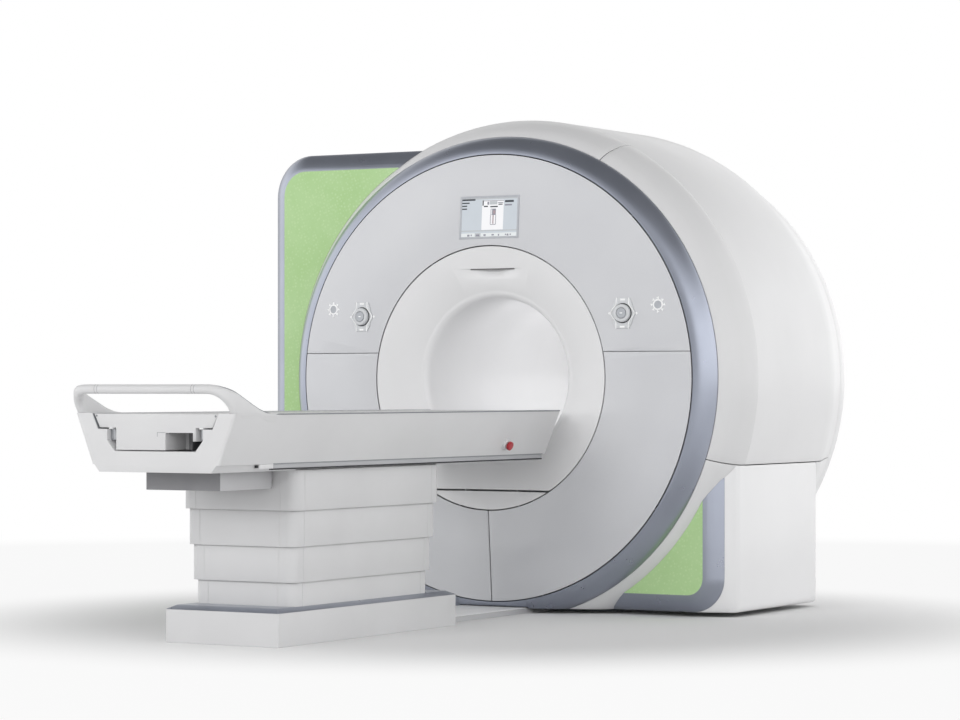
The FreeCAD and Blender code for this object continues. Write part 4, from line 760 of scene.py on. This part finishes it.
def spunAbout(line, steps=64):  # a turned part: (radius, out) points spun about the local -Y axis
    bm = bmesh.new()
    verts = [bm.verts.new((r, -out, 0)) for r, out in line]
    edges = [bm.edges.new(pair) for pair in zip(verts, verts[1:])]
    bmesh.ops.spin(bm, geom=verts + edges, cent=(0, 0, 0), axis=(0, -1, 0), dvec=(0, 0, 0), angle=math.tau,
                   steps=steps, use_merge=True)
    bmesh.ops.remove_doubles(bm, verts=bm.verts[:], dist=1e-6)
    faceOut(bm)
    return bm


def aroundY(turn, *moves):  # moves a part out along its axes, then turns it about the local Y axis
    return Matrix.Rotation(turn, 4, "Y") @ Matrix.Translation(moves)


for side, word in ((1, "right"), (-1, "left")):
    place = discFrame(side * controls["x"], controls["z"])
    lightPlace = Vector((side * controls["lightX"], 0, controls["lightZ"]))

    knob = spunAbout(dial["line"])
    for rib in range(dial["ribs"]):
        made = boxShape(knob, dial["ribX"], dial["ribY"], dial["ribZ"])
        turn = math.tau * (rib + 0.5) / dial["ribs"]
        bmesh.ops.transform(knob, matrix=aroundY(turn, dial["ribAt"], 0, 0), verts=made)
    button = spunAbout(pushButton["line"])
    wearLook(boxShape(button, pushButton["markX"], pushButton["markY"], pushButton["markZ"]), 1)
    # painted shade: the dark ring round the dial's foot
    shadeRing = spunAbout(dialShadeRing["line"])
    key = spunAbout(lightKey["line"])
    for face in key.faces:  # a white rim round the grey key
        centre = face.calc_center_median()
        face.material_index = 0 if math.hypot(centre.x, centre.z) > lightKey["rim"] else 1
    bmesh.ops.translate(key, vec=lightPlace, verts=key.verts[:])

    marks = bmesh.new()  # bright outline round the dial, bars above and below, a spot on either side
    for way in (1, -1):
        path = []
        for step in range(marking["steps"] + 1):
            z = marking["half"] * (2 * step / marking["steps"] - 1)
            swell = 0.5 + 0.5 * math.cos(math.pi * min(1.0, abs(z) / marking["neck"]))
            x = marking["end"] + (marking["waist"] - marking["end"]) * swell
            path.append(Vector((way * x, -marking["out"], z)))
        sweptLine(marks, path, marking["line"])
    for way in (1, -1):
        middle, (halfX, halfZ) = way * marking["barZ"], marking["barHalf"]
        boxShape(marks, (-halfX, halfX), marking["barY"], (middle - halfZ, middle + halfZ))
    for way in (1, -1):
        half = marking["spotHalf"]
        made = boxShape(marks, (-half, half), (-marking["spotOut"], 0.0), (-half, half))
        spot = Matrix.Translation((way * marking["spotX"], 0, 0)) @ aroundY(math.radians(45), 0, 0, 0)
        bmesh.ops.transform(marks, matrix=spot, verts=made)
    for ray in range(marking["rays"]):  # the sun sign round the light key
        made = bmesh.ops.create_cone(marks, cap_ends=True, segments=3, radius1=marking["raySize"],
                                     radius2=marking["raySize"], depth=marking["rayWall"])
        spot = (Matrix.Translation(lightPlace)
                @ aroundY(math.tau * ray / marking["rays"], marking["rayReach"], -marking["rayWall"] / 2, 0)
                @ Matrix.Rotation(math.radians(90), 4, "X"))
        bmesh.ops.transform(marks, matrix=spot, verts=made["verts"])
    faceOut(marks)

    for bm, name, material, body, node, slot in (
            (knob, "dial", controlPlastic, "dial_" + word[0], "dial_" + word, "dial_white"),
            (button, "dialButton", [keyPlastic, whiteAndPaintedLight], "dial_push_" + word[0], "dial_button_" + word,
             "key_grey"),
            (shadeRing, "dialShadeRing", darkRubberAndShade, "gantry", None, "belt_rubber"),
            (marks, "controlMarks", whiteAndPaintedLight, "gantry", None, "dial_white"),
            (key, "lightKey", [whiteAndPaintedLight, keyPlastic], "light_" + word[0], "light_key_" + word, "key_grey")):
        bmesh.ops.transform(bm, matrix=place, verts=bm.verts[:])
        finishPiece(bm, name + "." + word, material, body, node)
finishPiece(fromFrame("control_units", width=controls["unitSoft"]), "controlUnits", controlPlastic, "gantry",
            "control_units")
print("controls done")

# Trough of the table, with a slot for the belt's clamp in its floor
trough = {"end": -3.1615, "head": -0.7365, "top": 0.887,
          "section": ((0.255, 0.668), (0.279, 0.696), (0.290, 0.696), (0.366, 0.887), (0.289, 0.887),
                      (0.262, 0.828), (0.219, 0.828), (0.219, 0.787), (0.185, 0.746)),
          "slotHalf": 0.013, "slotZ": (0.701, 0.76), "slotY": (-3.0235, -1.0395), "endRound": 0.010,
          "edgeRound": 0.0022, "shortest": 0.02, "cornerX": 0.28, "cornerTall": 0.1}
shell = bmesh.new()
drawnOut(shell, [*trough["section"], *((-x, z) for x, z in reversed(trough["section"]))], trough["end"],
         trough["head"])


def isEndCorner(edge):  # the corner between the foot end's face and a slanted side
    a, b = edge.verts[0].co, edge.verts[1].co
    return (max(a.y, b.y) < trough["end"] + 0.001 and min(abs(a.x), abs(b.x)) > trough["cornerX"]
            and abs(a.z - b.z) > trough["cornerTall"])


softenEdges(shell, trough["endRound"], 5, 40, isEndCorner)
softenEdges(shell, trough["edgeRound"], 3, 20, lambda e: e.calc_length() > trough["shortest"])
slotBox = bmesh.new()
boxShape(slotBox, (-trough["slotHalf"], trough["slotHalf"]), trough["slotY"], trough["slotZ"])
finishPiece(subtract(shell, slotBox), "troughShell", tablePaint, "table", "trough")

# Horns: from the handle bar round a bend, down along the arm and out into the trough's top
horn = {"half": 0.227, "gap": 0.0003, "reach": 0.053, "height": 0.9765, "radius": 0.0175, "straight": 0.048,
        "sleeve": 0.024, "bend": 0.0735, "bendSteps": 12, "bendDrop": 0.052, "bendEase": 2.2, "slope": 23,
        "armSteps": 4, "sweep": 0.38, "sweepSteps": 8, "sink": 0.8695, "foot": 0.868, "flush": 0.0003, "sides": 40}
# The grey line along a horn's outer edge, from one of its rings to another, and on to the gantry end
edgeLine = {"radius": 0.0026, "side": Vector((0.62, 0, 0.74)), "firstRing": 4, "lastRing": -2, "clear": 0.004,
            "height": 0.8835, "run": 0.05, "head": -0.739}
barStart = Vector((horn["half"], trough["end"] - horn["reach"], horn["height"]))


def sidePlane(z):  # how far out the trough's slanted side lies at a height
    (lowX, lowZ), (highX, highZ) = trough["section"][2:4]
    return lowX + (highX - lowX) * (z - lowZ) / (highZ - lowZ)


def hornRings():
    # rings of the horn as (centre, direction, drop): bar end, bend, arm, then the run-out into the trough's top
    slope = math.radians(horn["slope"])
    rightWay = Vector((1, 0, 0))
    along = Vector((0, math.cos(slope), -math.sin(slope)))
    upWay = Vector((0, math.sin(slope), math.cos(slope)))

    def footDrop(spot):  # how far the lower half is drawn down to the horn's foot
        return max(0.0, spot.z - horn["radius"] - horn["foot"])

    root = barStart + rightWay * horn["gap"]
    rings = [(root, rightWay, 0.0), (root + rightWay * horn["sleeve"], rightWay, 0.0)]
    centre = root + rightWay * horn["straight"] + along * horn["bend"]
    for step in range(horn["bendSteps"] + 1):
        share = step / horn["bendSteps"]
        turn = math.radians(90) * share
        spot = centre + (rightWay * math.sin(turn) - along * math.cos(turn)) * horn["bend"]
        rings.append((spot, rightWay * math.cos(turn) + along * math.sin(turn),
                      horn["bendDrop"] * share ** horn["bendEase"]))
    bendEnd = rings[-1][0]
    sweepDrop = horn["sweep"] * (1 - math.cos(slope))
    run = (bendEnd.z - horn["sink"] - sweepDrop) / math.sin(slope)
    for step in range(1, horn["armSteps"] + 1):
        spot = bendEnd + along * run * step / horn["armSteps"]
        rings.append((spot, along, footDrop(spot)))
    centre = rings[-1][0] + upWay * horn["sweep"]
    for step in range(1, horn["sweepSteps"] + 1):
        angle = slope * (1 - step / horn["sweepSteps"])
        way = Vector((0, math.cos(angle), -math.sin(angle)))
        spot = centre + Vector((0, -math.sin(angle), -math.cos(angle))) * horn["sweep"]
        rings.append((spot, way, footDrop(spot)))
    return rings


for side, word in ((1, "Right"), (-1, "Left")):
    bm = bmesh.new()
    rings = []
    for spot, way, drop in hornRings():
        sideways = way.cross(Vector((0, 0, 1))).normalized()
        upright = sideways.cross(way).normalized()
        basis = Matrix((sideways, upright, way)).transposed().to_4x4()
        rings.append(edgeRing(bm, Matrix.Translation(spot) @ basis, horn["radius"], horn["sides"]))
        low = [v for v in rings[-1] if (v.co - spot).dot(upright) < -1e-5]
        bmesh.ops.translate(bm, vec=(0, 0, -drop), verts=low)
    closeTube(bm, rings)
    for vert in bm.verts:  # below the trough's top the horn lies flush with the slanted side
        if vert.co.z < trough["top"]:
            vert.co.x = min(vert.co.x, sidePlane(vert.co.z) + horn["flush"])
    mirrorTo(bm, side)
    finishPiece(bm, "horn" + word, tablePaint, "table", "trough", sharpAngle=50)

    followed = hornRings()[edgeLine["firstRing"]:edgeLine["lastRing"]]
    line = [spot + edgeLine["side"] * horn["radius"] for spot, way, drop in followed]
    line = [spot for spot in line if spot.z > trough["top"] - edgeLine["clear"]]
    lineX, lineZ = sidePlane(edgeLine["height"]), edgeLine["height"]
    line += [Vector((lineX, line[-1].y + edgeLine["run"], lineZ)), Vector((lineX, edgeLine["head"], lineZ))]
    bm = bmesh.new()
    sweptLine(bm, line, edgeLine["radius"])
    mirrorTo(bm, side)
    finishPiece(bm, "edgeLine" + word, seamGreyAndShade, "table", sharpAngle=60)

# Handle bar with two fine rings at each end
handle = {"slack": 0.0002, "soft": 0.001, "ringSlack": 0.00005, "ringWide": 0.0012,
          "rings": (-0.2270, -0.2150, 0.2138, 0.2258)}
bm = bmesh.new()
rodShape(bm, (-barStart.x, barStart.y, barStart.z), (1, 0, 0), horn["radius"] - handle["slack"], 2 * horn["half"])
softenEdges(bm, handle["soft"], 2, 60)
finishPiece(bm, "handleBar", tablePaint, "table", "handle_bar")
bm = bmesh.new()
for x in handle["rings"]:
    rodShape(bm, (x, barStart.y, barStart.z), (1, 0, 0), horn["radius"] - handle["ringSlack"], handle["ringWide"])
faceOut(bm)
finishPiece(bm, "barRings", ringGreyAndShade, "table")

# Grey strips in the channels that the tabletop's wings run over, painted shade for the gap under the wings
strip = {"section": ((0.2884, 0.8862), (0.2612, 0.8284), (0.2215, 0.8284), (0.2215, 0.8289), (0.2606, 0.8289),
                     (0.2878, 0.8862)), "inset": 0.002}
bm = bmesh.new()
for side in (1, -1):
    drawnOut(bm, [(side * x, z) for x, z in strip["section"]], trough["end"] + strip["inset"],
             trough["head"] - strip["inset"])
finishPiece(bm, "channelShadeStrips", seamGreyAndShade, "table", sharpAngle=20)

# Tabletop with a notch under its foot end, lined with painted shade: dark walls and roof, grey at the back
tabletop = {"soft": 0.002, "notchX": (0.1688, 0.195), "notchY": (-3.1815, -3.0465), "notchZ": (0.74, 0.784),
            "glideSoft": 0.001}
notchShadeWalls = (  # each wall of painted shade: its spans along X, Y and Z, and its look
    ((0.1650, 0.1686), (-3.1525, -3.0262), (0.7502, 0.8148), 0),
    ((0.1200, 0.1686), (-3.0275, -3.0257), (0.7502, 0.8148), 0),
    ((0.0600, 0.1200), (-3.0275, -3.0257), (0.7502, 0.8148), 1),
    ((0.0600, 0.1686), (-3.1525, -3.0262), (0.8125, 0.8148), 0))
notch = bmesh.new()
boxShape(notch, tabletop["notchX"], tabletop["notchY"], tabletop["notchZ"])
finishPiece(subtract(fromFrame("tabletop", width=tabletop["soft"]), notch), "tabletopPanel", tablePaint, "top",
            "tabletop")
bm = bmesh.new()
for x, y, z, look in notchShadeWalls:
    wearLook(boxShape(bm, x, y, z), look)
faceOut(bm)
finishPiece(bm, "notchShadeLining", [darkRubberAndShade, ringGreyAndShade], "top")
finishPiece(fromFrame("tabletop_glides", width=tabletop["glideSoft"]), "tabletopGlides", whiteAndPaintedLight, "top",
            "tabletop_glides")

# Rails and beam of the table's frame, each with another look at its foot end; the beam's looks are painted shade
frameParts = {"railSoft": 0.0012, "blockEnd": -2.8085, "beamSoft": 0.0018, "shadedEnd": -2.982}
rails = fromFrame("side_rails", width=frameParts["railSoft"])
for face in rails.faces:
    face.material_index = 0 if face.calc_center_median().y < frameParts["blockEnd"] else 1
finishPiece(rails, "sideRails", [tablePaint, railGrey], "table", "side_rails")
# painted shade: the beam under the trough wears a darker coat, and its foot end a darker grey still
beam = fromFrame("underframe_box", width=frameParts["beamSoft"])
for face in beam.faces:
    face.material_index = 1 if face.calc_center_median().y < frameParts["shadedEnd"] else 0
finishPiece(beam, "underframeBox", [paintedShadeCoat, ringGreyAndShade], "table", "underframe_box")
finishPiece(fromFrame("guide_rails", width=frameParts["railSoft"]), "guideRails", extrudedMetal, "table",
            "guide_rails")

# Emergency buttons on their bosses
stop = {"x": 0.3095, "y": -1.109, "z": 0.745, "out": (0.9291, -0.3697), "radius": 0.026, "taper": 0.004,
        "height": 0.012, "sink": 0.003, "soft": 0.0025}
for word in ("right", "left"):
    head = fromFrame("stop_button_" + word, width=stop["soft"], segments=3, angle=40)
    finishPiece(head, "stopButton." + word, redPlastic, "stop_" + word, "stop_button_" + word,
                sharpAngle=50)
for side, word in ((1, "Right"), (-1, "Left")):
    out = Vector((stop["out"][0] * side, 0, stop["out"][1]))
    boss = bmesh.new()
    rodShape(boss, Vector((side * stop["x"], stop["y"], stop["z"])) - out * stop["sink"], out, stop["radius"],
             stop["height"] + stop["sink"], radiusEnd=stop["radius"] - stop["taper"])
    softenEdges(boss, stop["soft"], 3, 50)
    finishPiece(boss, "stopBoss" + word, tablePaint, "table", "trough")

# Screws and a fine joint on the tabletop's foot end
endMarks = {"screw": 0.0042, "screwAt": (0.272, -3.1545, 0.877), "screwLong": 0.0014, "screwSides": 20,
            "joint": 0.0014, "jointX": (0.008, 0.045), "jointY": (-3.1560, -3.1552), "jointZ": (0.8010, 0.8155)}
bm = bmesh.new()
for side in (1, -1):
    x, y, z = endMarks["screwAt"]
    rodShape(bm, (side * x, y, z), (0, -1, 0), endMarks["screw"], endMarks["screwLong"], endMarks["screwSides"])
(left, right), (low, high), joint = endMarks["jointX"], endMarks["jointZ"], endMarks["joint"]
boxShape(bm, (left, right), endMarks["jointY"], (high, high + joint))
boxShape(bm, (left, left + joint), endMarks["jointY"], (low, high))
faceOut(bm)
finishPiece(bm, "tabletopEndMarks", seamGreyAndShade, "top")

# Dark strips and grey lips in the long gaps beside the rails, and painted shade for the pit in each end block
gaps = {"span": (-2.81, -0.7605), "sealX": (0.2700, 0.2890), "sealZ": (0.6737, 0.6785), "pitX": (0.2760, 0.2855),
        "pitY": (-2.913, -2.9015), "pitZ": (0.6830, 0.6920), "lipX": (0.2880, 0.2917), "lipZ": (0.6955, 0.6985)}
# painted shade: a dark block stands for the shade in each end block's pit
for name, material, slot, boxes in (
        ("railGapDarks", darkRubberAndShade, "belt_rubber", (("sealX", "span", "sealZ"), ("pitX", "pitY", "pitZ"))),
        ("railLips", seamGreyAndShade, "table_white", (("lipX", "span", "lipZ"),))):
    bm = bmesh.new()
    for side in (1, -1):
        for x, y, z in boxes:
            boxShape(bm, [side * end for end in gaps[x]], gaps[y], gaps[z])
    faceOut(bm)
    finishPiece(bm, name, material, "table")
print("table top done")

# Telescoping pedestal covers: folded sheet with a fine seam near each corner
pedestal = {"half": 0.266, "length": 1.064, "middle": -2.0965, "corner": 0.042, "cornerSteps": 6, "step": 0.0115,
            "sheet": 0.003, "soft": 0.0008, "seam": 0.068, "rib": 0.0010, "ribFoot": 0.003, "ribTop": 0.004,
            "troughFoot": 0.6675,
            "stages": (("pedestalUpper", "pedestal_cover_upper", "table", 0.513, 0.668),
                       ("pedestalSecond", "pedestal_cover_second", "segment_2", 0.374, 0.533),
                       ("pedestalThird", "pedestal_cover_third", "segment_3", 0.237, 0.394),
                       ("pedestalLower", "pedestal_cover_lower", "gantry", 0.012, 0.257))}
for stage, (name, node, body, low, high) in enumerate(pedestal["stages"]):
    shrink = stage * pedestal["step"]
    half = pedestal["half"] - shrink
    reach = pedestal["length"] / 2 - shrink
    cover = bmesh.new()
    boxShape(cover, (-half, half), (pedestal["middle"] - reach, pedestal["middle"] + reach), (low, high))
    uprights = [e for e in cover.edges if abs(e.verts[0].co.z - e.verts[1].co.z) > 0.05]
    roundOff(cover, uprights, pedestal["corner"], pedestal["cornerSteps"])
    cover.normal_update()
    bmesh.ops.delete(cover, geom=[f for f in cover.faces if abs(f.normal.z) > 0.9], context="FACES_ONLY")
    giveWall(cover, pedestal["sheet"], pedestal["soft"])
    rib, ribZ = pedestal["rib"], (low + pedestal["ribFoot"], min(high, pedestal["troughFoot"]) - pedestal["ribTop"])
    for side in (-1, 1):
        for end in (-1, 1):
            x, y = side * (half - pedestal["seam"]), pedestal["middle"] + end * reach  # seams in the end faces
            boxShape(cover, (x - rib, x + rib), (y, y + end * rib), ribZ)
            x, y = side * half, pedestal["middle"] + end * (reach - pedestal["seam"])  # and in the long sides
            boxShape(cover, (x, x + side * rib), (y - rib, y + rib), ribZ)
    faceOut(cover)
    finishPiece(cover, name, powderCoat, body, node)

# Base of the table and the flat duct on the floor; the duct's top is painted light, its sides painted shade
footing = {"baseSoft": 0.004, "deckSoft": 0.0012, "ductSoft": 0.002}
finishPiece(fromFrame("table_base_cover", width=footing["baseSoft"], segments=3), "tableBase", powderCoat,
            "gantry", "table_base_cover")
finishPiece(fromFrame("table_base_deck", width=footing["deckSoft"]), "tableBaseDeck", slateLacquer, "gantry",
            "table_base_deck")
duct = fromFrame("floor_duct", width=footing["ductSoft"])
# painted light on the duct's faces that look up, painted shade on the others
for face in duct.faces:
    face.material_index = 0 if face.normal.z > 0.5 else 1
finishPiece(duct, "floorDuct", [whiteAndPaintedLight, paintedShadeCoat], "gantry", "floor_duct")
print("pedestal done")

# Stage: the floor is pale paint that keeps the shadow near the object and turns into plain white further away
floorLook = {"radius": 40.0, "sides": 96, "colour": "#f1f1f1", "middle": (0.25, -1.10), "near": (1.3, 2.7),
             "nearWhite": 0.87, "far": (2.5, 8.0)}
room = {"top": (0.3, 0.80), "horizon": 1.47, "zenith": 0.20, "frontSpan": (-0.72, -0.97), "front": 0.42,
        "rightSpan": (-0.1, 0.75), "right": 1.22, "backSpan": (1.12, 1.36), "back": 0.45}


def lightPathShare(tree, *kinds):  # 1 for rays of the given kinds, else 0
    path = addNode(tree, "ShaderNodeLightPath")
    share = path.outputs[kinds[0]]
    for kind in kinds[1:]:
        share = combine(tree, "MAXIMUM", share, path.outputs[kind])
    return share


floorPaint, tree = newTree("floorPaint")
centred = addNode(tree, "ShaderNodeMapping", inputs={
    "Vector": objectPlace(tree), "Location": (-floorLook["middle"][0], -floorLook["middle"][1], 0.0)})
away = addNode(tree, "ShaderNodeVectorMath", {"operation": "LENGTH"}, {0: centred.outputs[0]}).outputs["Value"]
fade = combine(tree, "MAXIMUM", spread(tree, away, *floorLook["near"], high=floorLook["nearWhite"], smooth=True),
               spread(tree, away, *floorLook["far"], smooth=True))
seen = lightPathShare(tree, "Is Camera Ray", "Is Glossy Ray", "Is Transmission Ray")
paint = addNode(tree, "ShaderNodeBsdfDiffuse", inputs={"Color": linearColour(floorLook["colour"])})
glow = addNode(tree, "ShaderNodeEmission", inputs={"Color": (1, 1, 1, 1), "Strength": 1.0})
mixed = addNode(tree, "ShaderNodeMixShader", inputs={
    0: combine(tree, "MULTIPLY", seen, fade), 1: paint.outputs[0], 2: glow.outputs[0]})
addNode(tree, "ShaderNodeOutputMaterial", inputs={"Surface": mixed.outputs[0]})
bm = bmesh.new()
bmesh.ops.create_circle(bm, cap_ends=True, segments=floorLook["sides"], radius=floorLook["radius"])
mesh = bpy.data.meshes.new("floor")
bm.to_mesh(mesh)
bm.free()
mesh.materials.append(floorPaint)
floor = bpy.data.objects.new("floor", mesh)
bpy.context.scene.collection.objects.link(floor)

# The room is bright at eye level, dimmer overhead, in front and behind on the left; the camera sees plain white
world = bpy.data.worlds.new("studio")
bpy.context.scene.world = world
world.use_nodes = True
tree = world.node_tree
tree.nodes.clear()
where = addNode(tree, "ShaderNodeTexCoord").outputs["Generated"]
way = addNode(tree, "ShaderNodeSeparateXYZ", inputs={0: where}).outputs
behindLeft = combine(tree, "SUBTRACT", way["Y"], way["X"])
strength = spread(tree, way["Z"], *room["top"], room["horizon"], room["zenith"], smooth=True)
for value, span, change in ((way["Y"], "frontSpan", "front"), (way["X"], "rightSpan", "right"),
                            (behindLeft, "backSpan", "back")):
    share = spread(tree, value, *room[span], 1.0, room[change], smooth=True)
    strength = combine(tree, "MULTIPLY", strength, share)
strength = combine(tree, "MAXIMUM", strength, lightPathShare(tree, "Is Camera Ray"))
background = addNode(tree, "ShaderNodeBackground", inputs={"Color": (1, 1, 1, 1), "Strength": strength})
addNode(tree, "ShaderNodeOutputWorld", inputs={"Surface": background.outputs[0]})

# One soft light in front on the left, and the lights that such a bore has inside
frontLight = {"place": Vector((-2.0, -20.0, 7.0)), "target": Vector((0, -1.5, 0.8)), "size": (9.0, 7.0),
              "power": 1050}
boreLight = {"places": (-0.30, 0.05, 0.40), "rise": 0.15, "radius": 0.12, "power": 0.85}


def addLamp(name, kind, place, power):
    light = bpy.data.lights.new(name, kind)
    light.energy = power
    lamp = bpy.data.objects.new(name, light)
    lamp.location = place
    lamp.visible_glossy = False
    bpy.context.scene.collection.objects.link(lamp)
    return lamp


lamp = addLamp("frontLight", "AREA", frontLight["place"], frontLight["power"])
lamp.data.shape = "RECTANGLE"
lamp.data.size, lamp.data.size_y = frontLight["size"]
lamp.rotation_mode = "QUATERNION"
lamp.rotation_quaternion = (frontLight["target"] - frontLight["place"]).to_track_quat("-Z", "Y")
for y in boreLight["places"]:
    lamp = addLamp("boreLight", "POINT", (0, y, axisHeight + boreLight["rise"]), boreLight["power"])
    lamp.data.shadow_soft_size = boreLight["radius"]
    lamp.visible_camera = False

# Camera at the photograph's viewing angle
photoCamera = {"lens": 116.0, "sensor": 36.0, "shift": 0.02985, "far": 200.0, "place": (6.843, -12.389, 0.978),
               "turn": 30.553}
cameraData = bpy.data.cameras.new("photoCamera")
cameraData.lens = photoCamera["lens"]
cameraData.sensor_width = photoCamera["sensor"]
cameraData.shift_y = photoCamera["shift"]
cameraData.clip_end = photoCamera["far"]
camera = bpy.data.objects.new("photoCamera", cameraData)
camera.location = photoCamera["place"]
camera.rotation_euler = (math.radians(90), 0, math.radians(photoCamera["turn"]))
bpy.context.scene.collection.objects.link(camera)
bpy.context.scene.camera = camera
bpy.context.scene.view_settings.view_transform = "Standard"
print("stage, lights and camera done")
